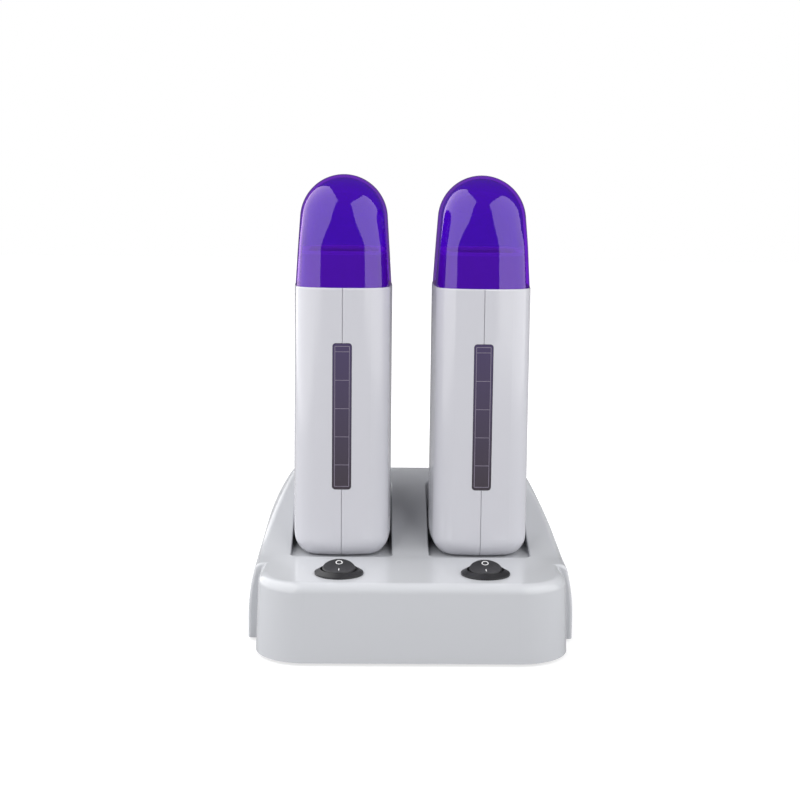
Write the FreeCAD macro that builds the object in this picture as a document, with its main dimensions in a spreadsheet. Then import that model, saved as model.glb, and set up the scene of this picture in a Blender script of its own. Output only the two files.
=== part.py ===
import FreeCAD, Part
import math
import os
import re
import Sketcher

# Double roll-on wax heater: two cartridge hand units that stand in a docking base.
# Millimetres. +Z is up, the front faces -Y, the origin lies on the table under the middle.

SIZES = {
    # base housing
    "base_width": 157,
    "base_depth": 138,
    "front_width": 147.4,
    "front_corner": 24,
    "front_draft": 2,
    "rim_gap": 1.5,
    "panel_height": 38.5,
    "crest_height": 67.4,
    "wing_setback": 39,
    "ramp_setback": 52,
    "ramp_radius": 70,
    "crest_radius": 12,
    "crest_flat": 0.6,
    "back_radius": 7,
    "bow_radius": 94,
    "bow_level": 12,
    "edge_radius": 4.5,
    "shoulder_radius": 3.5,
    "wing_edge": 1.5,
    "base_wall": 2.5,
    # pockets for the hand units
    "unit_spacing": 68.2,
    "pocket_setback": 52.7,
    "pocket_clearance": 0.7,
    "pocket_recess": 1.5,
    "pocket_corner": 5,
    "pocket_lip": 0.8,
    # base plate, feet and screws
    "plate_recess": 1,
    "plate_thickness": 3,
    "plate_gap": 0.3,
    "foot_radius": 6,
    "foot_taper": 0.6,
    "front_foot_x": 54,
    "front_foot_setback": 15,
    "rear_foot_x": 62,
    "rear_foot_setback": 14,
    "boss_radius": 4,
    "front_boss_x": 61,
    "front_boss_setback": 28,
    "rear_boss_x": 48,
    "rear_boss_setback": 26,
    "screw_radius": 1.45,
    "screw_length": 10,
    "screw_head_radius": 2.8,
    "screw_head_height": 1.8,
    "screw_head_rim": 0.9,
    "screw_crown_radius": 2,
    "screw_tip_radius": 0.4,
    "screw_slot_width": 0.7,
    "screw_slot_length": 3.2,
    "screw_slot_depth": 0.9,
    "screw_gap": 0.2,
    "thread_gap": 0.05,
    # rocker switches
    "switch_spacing": 69,
    "switch_setback": 21.5,
    "switch_flange_radius": 11.5,
    "switch_rim": 0.8,
    "switch_crown": 2.3,
    "switch_crown_radius": 8.9,
    "switch_barrel_radius": 9.9,
    "switch_barrel_depth": 13,
    "switch_floor": 3,
    "switch_hole_gap": 0.15,
    "switch_latch": 0.6,
    "rocker_radius": 7.7,
    "rocker_gap": 0.65,
    "rocker_height": 4.3,
    "rocker_skirt": 2,
    "rocker_dish": 1,
    "rocker_wall": 1.25,
    "rocker_face": 2.5,
    "rocker_tilt": 11,
    "pivot_radius": 1.3,
    "pivot_length": 1.4,
    "pivot_gap": 0.05,
    "blade_width": 4.8,
    "blade_thickness": 0.8,
    "blade_length": 9,
    "blade_spacing": 8,
    "blade_root": 1.5,
    # two-pole connectors in the dock, the units and the back of the base
    "plug_width": 13.4,
    "plug_depth": 6.8,
    "plug_height": 11,
    "plug_gap": 0.4,
    "plug_end_gap": 0.8,
    "plug_flange": 4,
    "plug_flange_thickness": 2.5,
    "pin_spacing": 8.4,
    "pin_radius": 1.2,
    "pin_tip": 0.7,
    "pin_gap": 0.1,
    "sleeve_skin": 0.3,
    "sleeve_gap": 0.05,
    "tail_length": 5,
    "tail_radius": 0.95,
    "inlet_wall": 2.6,
    "inlet_back": 3,
    "inlet_height": 20,
    "inlet_flange": 3,
    "inlet_flange_thickness": 1.5,
    "pin_setback": 1.2,
    # hand unit shells
    "unit_width": 48.4,
    "unit_depth": 66,
    "unit_height": 133.1,
    "unit_corner": 12,
    "unit_flare": 0.25,
    "unit_foot_radius": 10,
    "face_bulge": 60,
    "side_bulge": 180,
    "shell_wall": 2.4,
    "seam_gap": 0.3,
    "seam_depth": 0.5,
    "neck_height": 15.5,
    "neck_wall": 1.6,
    "neck_root": 5,
    "shell_lip": 0.8,
    "shell_screw_y": 17,
    "shell_screw_height": 15,
    "shell_boss_radius": 4.2,
    "shell_screw_seat": 5,
    # level window
    "window_width": 9.2,
    "window_height": 71.6,
    "window_level": 70.7,
    "window_corner": 1.5,
    "window_gap": 0.1,
    "window_recess": 0.15,
    "window_flange": 1.8,
    "window_skin": 1,
    # heating sleeve, mouth ring and electrical parts of a unit
    "chamber_width": 33.6,
    "chamber_depth": 51.6,
    "chamber_corner": 8,
    "chamber_wall": 1.2,
    "chamber_floor": 30,
    "chamber_slot": 8,
    "ring_thickness": 1.6,
    "ring_skirt": 4,
    "ring_gap": 0.15,
    "ring_edge": 0.5,
    "heater_thickness": 2,
    "heater_width": 30,
    "heater_length": 50,
    "heater_level": 70,
    "clip_thickness": 0.5,
    "clip_width": 16,
    "clip_reach": 4,
    "cutout_thickness": 2.3,
    "cutout_width": 8,
    "cutout_length": 20,
    "cutout_level": 60,
    "seat_gap": 0.05,
    # cap
    "cap_height": 53.6,
    "cap_draft": 3.7,
    "cap_dome_radius": 21.8,
    "cap_wall": 1.6,
    "cap_gap": 0.35,
    "cap_ledge": 0.4,
    # leads
    "lead_radius": 0.8,
    "lead_bend": 3,
    "lead_level": 12,
    "lead_run": 7.5,
    "lead_step": 4,
    "unit_lead_radius": 0.7,
    "unit_lead_level": 25,
}

doc = FreeCAD.newDocument("RollOnWaxHeater")
sheet = doc.addObject("Spreadsheet::Sheet", "Sizes")
for row, (alias, size) in enumerate(SIZES.items(), start=1):
    sheet.set(f"A{row}", alias)
    sheet.set(f"B{row}", str(size))
    sheet.setAlias(f"B{row}", alias)
doc.recompute()

# Places that follow from the sizes above
FRONT = "(-base_depth / 2)"
BACK = "(base_depth / 2)"
UNIT_X = "(unit_spacing / 2)"
UNIT_Y = "(pocket_setback + pocket_clearance + unit_depth / 2 - base_depth / 2)"
POCKET_FLOOR = "(panel_height - pocket_recess)"
FLOOR_UNDERSIDE = "(panel_height - pocket_recess - base_wall)"
PLATE_BOTTOM = "(rim_gap + plate_recess)"
PLATE_TOP = "(rim_gap + plate_recess + plate_thickness)"
SWITCH_X = "(switch_spacing / 2)"
SWITCH_Y = "(switch_setback - base_depth / 2)"
NECK_TOP = "(unit_height + neck_height)"
CAP_SLOPE = "tan(cap_draft * 1 deg)"
NECK_BASE_INSET = "(cap_ledge + cap_wall + cap_gap)"
NECK_TOP_INSET = f"({NECK_BASE_INSET} + neck_height * {CAP_SLOPE})"
BORE_INSET = f"({NECK_TOP_INSET} + neck_wall)"

SIDES = {"left": "-1", "right": "1"}
TOUCH = 0.01  # how close two places count as the same when edges are picked
pieces = []


def value(text):
    """Number that a formula of sheet names gives."""
    return float(sheet.evalExpression(str(text)))


def bind(item, path, text):
    """Tie a property to a formula of sheet names. Every sheet name holds an underscore."""
    item.setExpression(path, re.sub(r"[a-z]+(_[a-z]+)+", r"Sizes.\g<0>", str(text)))


def place(item, x="0", y="0", z="0", rotation=FreeCAD.Rotation()):
    """Set an object's rotation and tie its position to the sheet."""
    item.Placement = FreeCAD.Placement(FreeCAD.Vector(value(x), value(y), value(z)), rotation)
    for axis, text in zip("xyz", (x, y, z)):
        bind(item, f"Placement.Base.{axis}", text)


def piece(item, label):
    """Mark an object as one of the pieces that are written out."""
    item.Label = label
    pieces.append(item)
    return item


def new_body(name):
    return doc.addObject("PartDesign::Body", name)


def copy_of(form, name):
    """Body that starts from the shape of another body."""
    body = new_body(name)
    body.BaseFeature = form
    doc.recompute()
    return body


def new_sketch(body, role, offset="0"):
    """Sketch on one of the body's own origin planes, moved along the plane's normal."""
    sketch = body.newObject("Sketcher::SketchObject", body.Name + "_sketch")
    plane = next(item for item in body.Origin.OriginFeatures if item.Role == role)
    sketch.AttachmentSupport = [(plane, "")]
    sketch.MapMode = "FlatFace"
    bind(sketch, "AttachmentOffset.Base.z", offset)
    return sketch


def pin_point(sketch, geometry, end, x, y):
    """Hold a point of a sketch at two formulas."""
    for kind, text in (("DistanceX", x), ("DistanceY", y)):
        index = sketch.addConstraint(Sketcher.Constraint(kind, -1, 1, geometry, end, value(text)))
        bind(sketch, f"Constraints[{index}]", text)


def pin_radius(sketch, geometry, text):
    index = sketch.addConstraint(Sketcher.Constraint("Radius", geometry, value(text)))
    bind(sketch, f"Constraints[{index}]", text)


def arc_between(start, end, radius, turn):
    """Arc of less than half a circle. A turn of 1 bends left, -1 bends right."""
    chord = end - start
    height = math.sqrt(max(radius ** 2 - chord.Length ** 2 / 4, 0))
    normal = FreeCAD.Vector(-chord.y, chord.x, 0).normalize()
    centre = (start + end) / 2 + normal * (height * turn)
    first, last = (start, end) if turn > 0 else (end, start)
    angles = [math.atan2(point.y - centre.y, point.x - centre.x) for point in (first, last)]
    if angles[1] < angles[0]:
        angles[1] += 2 * math.pi
    circle = Part.Circle(centre, FreeCAD.Vector(0, 0, 1), radius)
    return Part.ArcOfCircle(circle, angles[0], angles[1])


def outline(sketch, corners):
    """Closed outline. A corner is (x, y), or (x, y, radius, turn) where an arc leads on from it."""
    points = [FreeCAD.Vector(value(corner[0]), value(corner[1]), 0) for corner in corners]
    ends = []
    for index, corner in enumerate(corners):
        start = points[index]
        end = points[(index + 1) % len(points)]
        if len(corner) == 2:
            geometry = sketch.addGeometry(Part.LineSegment(start, end), False)
            ends.append((geometry, 1, 2))
        else:
            turn = corner[3]
            geometry = sketch.addGeometry(arc_between(start, end, value(corner[2]), turn), False)
            ends.append((geometry, 1, 2) if turn > 0 else (geometry, 2, 1))
    for index, (geometry, first, last) in enumerate(ends):
        following = ends[(index + 1) % len(ends)]
        sketch.addConstraint(Sketcher.Constraint("Coincident", geometry, last, following[0], following[1]))
    for (geometry, first, last), corner in zip(ends, corners):
        pin_point(sketch, geometry, first, corner[0], corner[1])
        if len(corner) == 4:
            pin_radius(sketch, geometry, corner[2])


def rectangle(x0, y0, x1, y1):
    return [(x0, y0), (x1, y0), (x1, y1), (x0, y1)]


def rounded_rectangle(x, y, width, depth, radius):
    """Corners of a rectangle with round corners about the middle (x, y)."""
    left, right = f"({x} - {width} / 2)", f"({x} + {width} / 2)"
    front, back = f"({y} - {depth} / 2)", f"({y} + {depth} / 2)"
    return [
        (f"{left} + {radius}", front),
        (f"{right} - {radius}", front, radius, 1),
        (right, f"{front} + {radius}"),
        (right, f"{back} - {radius}", radius, 1),
        (f"{right} - {radius}", back),
        (f"{left} + {radius}", back, radius, 1),
        (left, f"{back} - {radius}"),
        (left, f"{front} + {radius}", radius, 1),
    ]


def slot_outline(x, y, width, depth):
    """Straight slot with round ends, each end made of two quarter arcs."""
    radius = f"({depth} / 2)"
    left, right = f"({x} - {width} / 2)", f"({x} + {width} / 2)"
    return [
        (f"{left} + {radius}", f"{y} - {radius}"),
        (f"{right} - {radius}", f"{y} - {radius}", radius, 1),
        (right, y, radius, 1),
        (f"{right} - {radius}", f"{y} + {radius}"),
        (f"{left} + {radius}", f"{y} + {radius}", radius, 1),
        (left, y, radius, 1),
    ]


def circle(sketch, x, y, radius):
    centre = FreeCAD.Vector(value(x), value(y), 0)
    ring = Part.Circle(centre, FreeCAD.Vector(0, 0, 1), value(radius))
    geometry = sketch.addGeometry(ring, False)
    pin_point(sketch, geometry, 3, x, y)
    pin_radius(sketch, geometry, radius)


def unit_section(sketch, inset, scale="1"):
    """Outline of a hand unit seen from above: four slightly bulged faces and four round corners."""
    half_width = f"((unit_width / 2 - {inset}) * {scale})"
    half_depth = f"((unit_depth / 2 - {inset}) * {scale})"
    face_radius = f"((face_bulge - {inset}) * {scale})"
    side_radius = f"((side_bulge - {inset}) * {scale})"
    corner = f"((unit_corner - {inset}) * {scale})"
    a, b, radius = value(half_width), value(half_depth), value(corner)
    face, side = value(face_radius), value(side_radius)
    # the corner's middle lies where circles about the face's and the side's middles cross
    face_middle = FreeCAD.Vector(0, face - b, 0)
    side_middle = FreeCAD.Vector(a - side, 0, 0)
    line = side_middle - face_middle
    along = ((face - radius) ** 2 - (side - radius) ** 2 + line.Length ** 2) / (2 * line.Length)
    across = math.sqrt((face - radius) ** 2 - along ** 2)
    line.normalize()
    middle = face_middle + line * along + FreeCAD.Vector(-line.y, line.x, 0) * across
    face_angle = math.atan2(middle.y - face_middle.y, middle.x - face_middle.x)
    side_angle = math.atan2(middle.y - side_middle.y, middle.x - side_middle.x)
    quarter = math.pi / 2
    arcs = []
    for turn in range(4):
        # front face, right side, back face, left side, each with the corner that follows it
        if turn % 2 == 0:
            reach, bulge, spread, next_spread = b, face, face_angle + quarter, side_angle
        else:
            reach, bulge, spread, next_spread = a, side, -side_angle, -(face_angle + quarter)
        heading = (turn - 1) * quarter
        outward = FreeCAD.Vector(math.cos(heading), math.sin(heading), 0)
        arcs.append((outward * (reach - bulge), bulge, heading - spread, heading + spread))
        flip_x = 1 if turn in (0, 1) else -1
        flip_y = 1 if turn in (0, 3) else -1
        corner_middle = FreeCAD.Vector(middle.x * flip_x, middle.y * flip_y, 0)
        arcs.append((corner_middle, radius, heading + spread, heading + quarter + next_spread))
    for centre, bulge, first, last in arcs:
        full = Part.Circle(centre, FreeCAD.Vector(0, 0, 1), bulge)
        sketch.addGeometry(Part.ArcOfCircle(full, first, last), False)
    for index in range(8):
        sketch.addConstraint(Sketcher.Constraint("Tangent", index, 2, (index + 1) % 8, 1))
    face_y = f"({face_radius} - {half_depth})"
    side_x = f"({half_width} - {side_radius})"
    middles = (("0", face_y), (side_x, "0"), ("0", f"-{face_y}"), (f"-{side_x}", "0"))
    for index, (x, y) in enumerate(middles):
        pin_point(sketch, 2 * index, 3, x, y)
        pin_radius(sketch, 2 * index, side_radius if index % 2 else face_radius)
        pin_radius(sketch, 2 * index + 1, corner)


def pad(body, sketch, length, both=False, reverse=False, draft=None):
    feature = body.newObject("PartDesign::Pad", body.Name + "_pad")
    feature.Profile = sketch
    bind(feature, "Length", length)
    if both:
        feature.SideType = "Symmetric"
    feature.Reversed = reverse
    if draft:
        bind(feature, "TaperAngle", draft)
    doc.recompute()
    return feature


def pocket(body, sketch, length=None, both=False, reverse=False):
    """Cut a sketch out of the body. Without a length the cut goes through all."""
    feature = body.newObject("PartDesign::Pocket", body.Name + "_pocket")
    feature.Profile = sketch
    if length is None:
        feature.Type = "ThroughAll"
    else:
        bind(feature, "Length", length)
    if both:
        feature.SideType = "Symmetric"
    feature.Reversed = reverse
    before = feature.BaseFeature.Shape.Volume
    doc.recompute()
    if feature.Shape.Volume >= before:
        raise RuntimeError(f"{feature.Name} cuts nothing")
    return feature


def revolve(body, sketch):
    """Full turn of a sketch about its own vertical axis."""
    feature = body.newObject("PartDesign::Revolution", body.Name + "_turn")
    feature.Profile = sketch
    feature.ReferenceAxis = (sketch, ["V_Axis"])
    feature.Angle = 360
    doc.recompute()
    return feature


def round_edges(body, radius, wanted):
    """Fillet the edges of the body's last feature that pass a test."""
    base = body.Tip
    names = [f"Edge{i}" for i, edge in enumerate(base.Shape.Edges, start=1) if wanted(base.Shape, edge)]
    feature = body.newObject("PartDesign::Fillet", body.Name + "_fillet")
    feature.Base = (base, names)
    bind(feature, "Radius", radius)
    doc.recompute()
    return feature


def loft(body, sketches, cut=False, ruled=False):
    kind = "PartDesign::SubtractiveLoft" if cut else "PartDesign::AdditiveLoft"
    feature = body.newObject(kind, body.Name + "_loft")
    feature.Profile = sketches[0]
    feature.Sections = sketches[1:]
    feature.Ruled = ruled
    doc.recompute()
    return feature


def combine(kind, name, parts):
    """Part boolean of several objects."""
    feature = doc.addObject(kind, name)
    if kind == "Part::Cut":
        feature.Base, feature.Tool = parts
    else:
        feature.Shapes = parts
    feature.Refine = True
    doc.recompute()
    return feature


def group(label, members):
    """Several like solids that share one piece."""
    bundle = doc.addObject("Part::Compound", label)
    bundle.Links = members
    doc.recompute()
    return piece(bundle, label)


def at_level(edge, height):
    return abs(edge.BoundBox.ZMin - height) < TOUCH and abs(edge.BoundBox.ZMax - height) < TOUCH


# Base housing

def front_block(name, inset, bottom):
    """Drafted front part under the switch panel."""
    body = new_body(name)
    sketch = new_sketch(body, "XY_Plane", bottom)
    half = f"(front_width / 2 - {inset})"
    corner = f"(front_corner - {inset})"
    front = f"({FRONT} + {inset})"
    back = f"({FRONT} + ramp_setback)"
    outline(sketch, [
        (f"-{half} + {corner}", front),
        (f"{half} - {corner}", front, corner, 1),
        (half, f"{front} + {corner}"),
        (half, back),
        (f"-{half}", back),
        (f"-{half}", f"{front} + {corner}", corner, 1),
    ])
    pad(body, sketch, f"panel_height - {inset} - {bottom}", draft="-front_draft")
    return body


def ramp_profile(sketch, inset, bottom):
    """Side view of the rear part: panel, concave ramp, crest and back wall."""
    wing = f"({FRONT} + wing_setback + {inset})"
    start = f"({FRONT} + ramp_setback)"
    back = f"({BACK} - {inset})"
    bend = f"({BACK} - back_radius)"
    crest = f"({BACK} - back_radius - crest_flat)"
    panel = f"(panel_height - {inset})"
    top = f"(crest_height - {inset})"
    ramp_arc = f"(ramp_radius + {inset})"
    crest_arc = f"(crest_radius - {inset})"
    back_arc = f"(back_radius - {inset})"
    hollow = FreeCAD.Vector(value(start), value("panel_height + ramp_radius"), 0)
    hump = FreeCAD.Vector(value(crest), value("crest_height - crest_radius"), 0)
    gap = hollow - hump
    slope = math.atan2(-gap.x, gap.y) - math.acos(value("ramp_radius + crest_radius") / gap.Length)
    normal = FreeCAD.Vector(-math.sin(slope), math.cos(slope), 0)
    foot_of_slope = hollow - normal * value(ramp_arc)
    head_of_slope = hump + normal * value(crest_arc)
    fixed = [(wing, bottom), (wing, panel), (start, panel), (crest, top), (bend, top),
             (back, "crest_height - back_radius"), (back, bottom)]
    spots = [FreeCAD.Vector(value(x), value(y), 0) for x, y in fixed]
    corner_a, corner_b, ramp_start, crest_start, bend_start, bend_end, corner_c = spots
    for shape in (
        Part.LineSegment(corner_a, corner_b),
        Part.LineSegment(corner_b, ramp_start),
        arc_between(ramp_start, foot_of_slope, value(ramp_arc), 1),
        Part.LineSegment(foot_of_slope, head_of_slope),
        arc_between(head_of_slope, crest_start, value(crest_arc), -1),
        Part.LineSegment(crest_start, bend_start),
        arc_between(bend_start, bend_end, value(back_arc), -1),
        Part.LineSegment(bend_end, corner_c),
        Part.LineSegment(corner_c, corner_a),
    ):
        sketch.addGeometry(shape, False)
    for kind, first, first_end, second, second_end in (
        ("Coincident", 0, 2, 1, 1),
        ("Tangent", 1, 2, 2, 1),
        ("Tangent", 2, 2, 3, 1),
        ("Tangent", 3, 2, 4, 2),
        ("Tangent", 4, 1, 5, 1),
        ("Coincident", 5, 2, 6, 2),
        ("Coincident", 6, 1, 7, 1),
        ("Coincident", 7, 2, 8, 1),
        ("Coincident", 8, 2, 0, 1),
    ):
        sketch.addConstraint(Sketcher.Constraint(kind, first, first_end, second, second_end))
    ends = ((0, 1), (1, 1), (1, 2), (5, 1), (5, 2), (7, 1), (7, 2))
    for (geometry, end), (x, y) in zip(ends, fixed):
        pin_point(sketch, geometry, end, x, y)
    for geometry, radius in ((2, ramp_arc), (4, crest_arc), (6, back_arc)):
        pin_radius(sketch, geometry, radius)


def rear_block(name, inset, bottom):
    """Rear part with the ramp, its sides bowed inward towards the top."""
    body = new_body(name)
    sketch = new_sketch(body, "YZ_Plane")
    ramp_profile(sketch, inset, bottom)
    pad(body, sketch, "2 * base_width", both=True)
    half = f"(base_width / 2 - {inset})"
    radius = f"(bow_radius - {inset})"
    top = "(crest_height + back_radius)"
    narrow = f"({half} - {radius} + sqrt({radius} ^ 2 - ({top} - bow_level) ^ 2))"
    bow = new_sketch(body, "XZ_Plane")
    below = f"({bottom} - back_radius)"
    outline(bow, rectangle(
        "-2 * base_width", f"{below} - back_radius", "2 * base_width", f"{top} + back_radius"))
    outline(bow, [
        (f"-{half}", below),
        (half, below),
        (half, "bow_level", radius, 1),
        (narrow, top),
        (f"-{narrow}", top, radius, 1),
        (f"-{half}", "bow_level"),
    ])
    pocket(body, bow, both=True)
    return body


def is_side(face):
    """Bowed left and right faces, which look mostly along X."""
    normal = face.normalAt(*face.Surface.parameter(face.CenterOfMass))
    return abs(normal.x) > max(abs(normal.y), abs(normal.z))


def side_outline(shape, edge):
    """Edges where a side meets the ramp, the crest or the back."""
    faces = shape.ancestorsOfType(edge, Part.Face)
    box = edge.BoundBox
    on_wing_front = abs(box.YMax - value(f"{FRONT} + wing_setback")) < TOUCH
    on_rim = box.ZMax < value("rim_gap") + TOUCH
    return sum(is_side(face) for face in faces) == 1 and not on_wing_front and not on_rim


def panel_edge(shape, edge):
    """Front and side edges of the switch panel."""
    return at_level(edge, value("panel_height")) and edge.BoundBox.YMin < value(f"{FRONT} + wing_setback")


def unit_pocket(name, grow, bottom):
    """Solid that fills both pockets, grown on all sides."""
    solids = []
    for side, sign in SIDES.items():
        body = new_body(f"{name}_{side}")
        sketch = new_sketch(body, "XY_Plane", bottom)
        outline(sketch, rounded_rectangle(
            f"({sign} * {UNIT_X})", UNIT_Y,
            f"(unit_width + 2 * pocket_clearance + 2 * {grow})",
            f"(unit_depth + 2 * pocket_clearance + 2 * {grow})",
            f"(pocket_corner + {grow})"))
        pad(body, sketch, "crest_height")
        solids.append(body)
    return combine("Part::MultiFuse", name, solids)


INLET_WIDTH = "(plug_width + 2 * plug_gap + 2 * inlet_wall)"
INLET_DEPTH = "(plug_depth + 2 * plug_gap + 2 * inlet_wall)"
RECESS = "(plug_height + plug_end_gap)"
BOSSES = [
    (f"{sign} * {across}", along, top)
    for sign in SIDES.values()
    for across, along, top in (
        ("front_boss_x", f"({FRONT} + front_boss_setback)", "(panel_height - base_wall / 2)"),
        ("rear_boss_x", f"({BACK} - rear_boss_setback)", f"({FLOOR_UNDERSIDE} + base_wall / 2)"),
    )
]


def screw_boss(index, x, y, top):
    post = doc.addObject("Part::Cylinder", f"screw_boss_{index}")
    bind(post, "Radius", "boss_radius")
    bind(post, "Height", f"{top} - {PLATE_TOP}")
    place(post, x, y, PLATE_TOP)
    return post


def in_well(face):
    """Upright walls of the pockets."""
    box = face.BoundBox
    middle = value(UNIT_X) if box.Center.x > 0 else -value(UNIT_X)
    half_width = value("unit_width / 2 + pocket_clearance") + TOUCH
    half_depth = value("unit_depth / 2 + pocket_clearance") + TOUCH
    upright = abs(face.normalAt(*face.Surface.parameter(face.CenterOfMass)).z) < TOUCH
    inside_x = max(abs(box.XMin - middle), abs(box.XMax - middle)) < half_width
    inside_y = max(abs(box.YMin - value(UNIT_Y)), abs(box.YMax - value(UNIT_Y))) < half_depth
    return upright and inside_x and inside_y


def well_mouth(shape, edge):
    """Edges where the pocket walls meet the panel and the ramp."""
    walls = sum(in_well(face) for face in shape.ancestorsOfType(edge, Part.Face))
    return walls == 1 and edge.BoundBox.ZMin > value(POCKET_FLOOR) + TOUCH


def wing_front(shape, edge):
    """Upright front edges of the side wings."""
    box = edge.BoundBox
    on_front = abs(box.YMax - value(f"{FRONT} + wing_setback")) < TOUCH
    return on_front and any(is_side(face) for face in shape.ancestorsOfType(edge, Part.Face))


def base_housing():
    front = front_block("front_outside", "0", "rim_gap")
    round_edges(front, "edge_radius", panel_edge)
    rear = rear_block("rear_outside", "0", "rim_gap")
    round_edges(rear, "shoulder_radius", side_outline)
    round_edges(rear, "wing_edge", wing_front)
    outside = combine("Part::MultiFuse", "outside", [front, rear])
    under = "(rim_gap / 2)"
    inside = combine("Part::MultiFuse", "inside", [
        front_block("front_inside", "base_wall", under),
        rear_block("rear_inside", "base_wall", under),
    ])
    tubs = unit_pocket("tubs", "base_wall", FLOOR_UNDERSIDE)
    cavity = combine("Part::Cut", "cavity", [inside, tubs])
    shell = combine("Part::Cut", "shell", [outside, cavity])
    wells = unit_pocket("wells", "0", POCKET_FLOOR)
    open_shell = combine("Part::Cut", "open_shell", [shell, wells])
    posts = [screw_boss(index, *boss) for index, boss in enumerate(BOSSES, start=1)]
    solid = combine("Part::MultiFuse", "housing_solid", [open_shell] + posts)
    body = copy_of(solid, "base_housing")
    round_edges(body, "pocket_lip", well_mouth)
    panel_holes = new_sketch(body, "XY_Plane", "panel_height + switch_crown")
    for sign in SIDES.values():
        circle(panel_holes, f"{sign} * {SWITCH_X}", SWITCH_Y, "switch_barrel_radius + switch_hole_gap")
    pocket(body, panel_holes, "switch_crown + 2 * base_wall")
    dock_holes = new_sketch(body, "XY_Plane", POCKET_FLOOR)
    for sign in SIDES.values():
        outline(dock_holes, slot_outline(
            f"({sign} * {UNIT_X})", UNIT_Y, "(plug_width + plug_gap)", "(plug_depth + plug_gap)"))
    pocket(body, dock_holes, "2 * base_wall")
    screw_holes = new_sketch(body, "XY_Plane", PLATE_TOP)
    for x, y, top in BOSSES:
        circle(screw_holes, x, y, "screw_radius + thread_gap")
    pocket(body, screw_holes, "screw_length", reverse=True)
    inlet_seat = new_sketch(body, "XZ_Plane", f"-{BACK}")
    outline(inlet_seat, rounded_rectangle(
        "0", "inlet_height", f"({INLET_WIDTH} + 2 * inlet_flange + plate_gap)",
        f"({INLET_DEPTH} + 2 * inlet_flange + plate_gap)", "inlet_flange"))
    pocket(body, inlet_seat, "inlet_flange_thickness", reverse=True)
    inlet_hole = new_sketch(body, "XZ_Plane", f"-{BACK}")
    outline(inlet_hole, rectangle(
        f"-{INLET_WIDTH} / 2 - plate_gap", f"inlet_height - {INLET_DEPTH} / 2 - plate_gap",
        f"{INLET_WIDTH} / 2 + plate_gap", f"inlet_height + {INLET_DEPTH} / 2 + plate_gap"))
    pocket(body, inlet_hole, "2 * base_wall", reverse=True)
    return piece(body, "base_housing")


# Base plate, feet and the screws that hold the plate

def base_plate():
    body = new_body("base_plate")
    inset = "(base_wall + plate_gap)"
    front = new_sketch(body, "XY_Plane", PLATE_BOTTOM)
    half = f"(front_width / 2 - {inset} - plate_gap)"
    corner = f"(front_corner - {inset})"
    ahead = f"({FRONT} + {inset} + plate_gap)"
    outline(front, [
        (f"-{half} + {corner}", ahead),
        (f"{half} - {corner}", ahead, corner, 1),
        (half, f"{ahead} + {corner}"),
        (half, "0"),
        (f"-{half}", "0"),
        (f"-{half}", f"{ahead} + {corner}", corner, 1),
    ])
    pad(body, front, "plate_thickness")
    rear = new_sketch(body, "XY_Plane", PLATE_BOTTOM)
    outline(rear, rectangle(
        f"-base_width / 2 + {inset}", f"{FRONT} + wing_setback + {inset}",
        f"base_width / 2 - {inset}", f"{BACK} - {inset}"))
    pad(body, rear, "plate_thickness")
    holes = new_sketch(body, "XY_Plane", PLATE_TOP)
    for x, y, top in BOSSES:
        circle(holes, x, y, "screw_radius + screw_gap")
    pocket(body, holes)
    seats = new_sketch(body, "XY_Plane", PLATE_BOTTOM)
    for x, y, top in BOSSES:
        circle(seats, x, y, "screw_head_radius + screw_gap")
    pocket(body, seats, "screw_head_height + screw_gap", reverse=True)
    return piece(body, "base_plate")


def base_feet():
    feet = []
    for side, sign in SIDES.items():
        for end, y in (
            ("front", f"{FRONT} + front_foot_setback"),
            ("rear", f"{BACK} - rear_foot_setback"),
        ):
            foot = doc.addObject("Part::Cone", f"foot_{end}_{side}")
            bind(foot, "Radius1", "foot_radius - foot_taper")
            bind(foot, "Radius2", "foot_radius")
            bind(foot, "Height", PLATE_BOTTOM)
            place(foot, f"{sign} * {end}_foot_x", y)
            feet.append(foot)
    return group("base_feet", feet)


def screw_form():
    """Cross-head screw along +Z, with the underside of its head at zero."""
    body = new_body("screw_form")
    sketch = new_sketch(body, "XZ_Plane")
    outline(sketch, [
        ("0", "-screw_head_height"),
        ("screw_crown_radius", "-screw_head_height"),
        ("screw_head_radius", "-screw_head_rim"),
        ("screw_head_radius", "0"),
        ("screw_radius", "0"),
        ("screw_radius", "screw_length - screw_radius"),
        ("screw_tip_radius", "screw_length"),
        ("0", "screw_length"),
    ])
    revolve(body, sketch)
    for across, along in (
        ("screw_slot_length", "screw_slot_width"),
        ("screw_slot_width", "screw_slot_length"),
    ):
        slot = new_sketch(body, "XY_Plane", "-screw_head_height")
        outline(slot, rectangle(f"-{across} / 2", f"-{along} / 2", f"{across} / 2", f"{along} / 2"))
        pocket(body, slot, "screw_slot_depth", reverse=True)
    return body


def base_screws(form):
    screws = []
    for index, (x, y, top) in enumerate(BOSSES, start=1):
        screw = copy_of(form, f"base_screw_{index}")
        place(screw, x, y, f"{PLATE_BOTTOM} + screw_head_height + screw_gap")
        screws.append(screw)
    return group("base_screws", screws)


# Two-pole connectors

def socket_block(body, start):
    """Block with a slot-shaped recess that opens at -Z, and two holes for pins."""
    block = new_sketch(body, "XY_Plane", start)
    outline(block, rounded_rectangle("0", "0", INLET_WIDTH, INLET_DEPTH, "inlet_wall"))
    pad(body, block, f"{RECESS} + inlet_back - {start}")
    recess = new_sketch(body, "XY_Plane", RECESS)
    outline(recess, slot_outline("0", "0", "(plug_width + 2 * plug_gap)", "(plug_depth + 2 * plug_gap)"))
    pocket(body, recess)
    holes = new_sketch(body, "XY_Plane", f"{RECESS} + inlet_back")
    for sign in SIDES.values():
        circle(holes, f"{sign} * pin_spacing / 2", "0", "pin_radius + sleeve_gap")
    pocket(body, holes)


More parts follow.
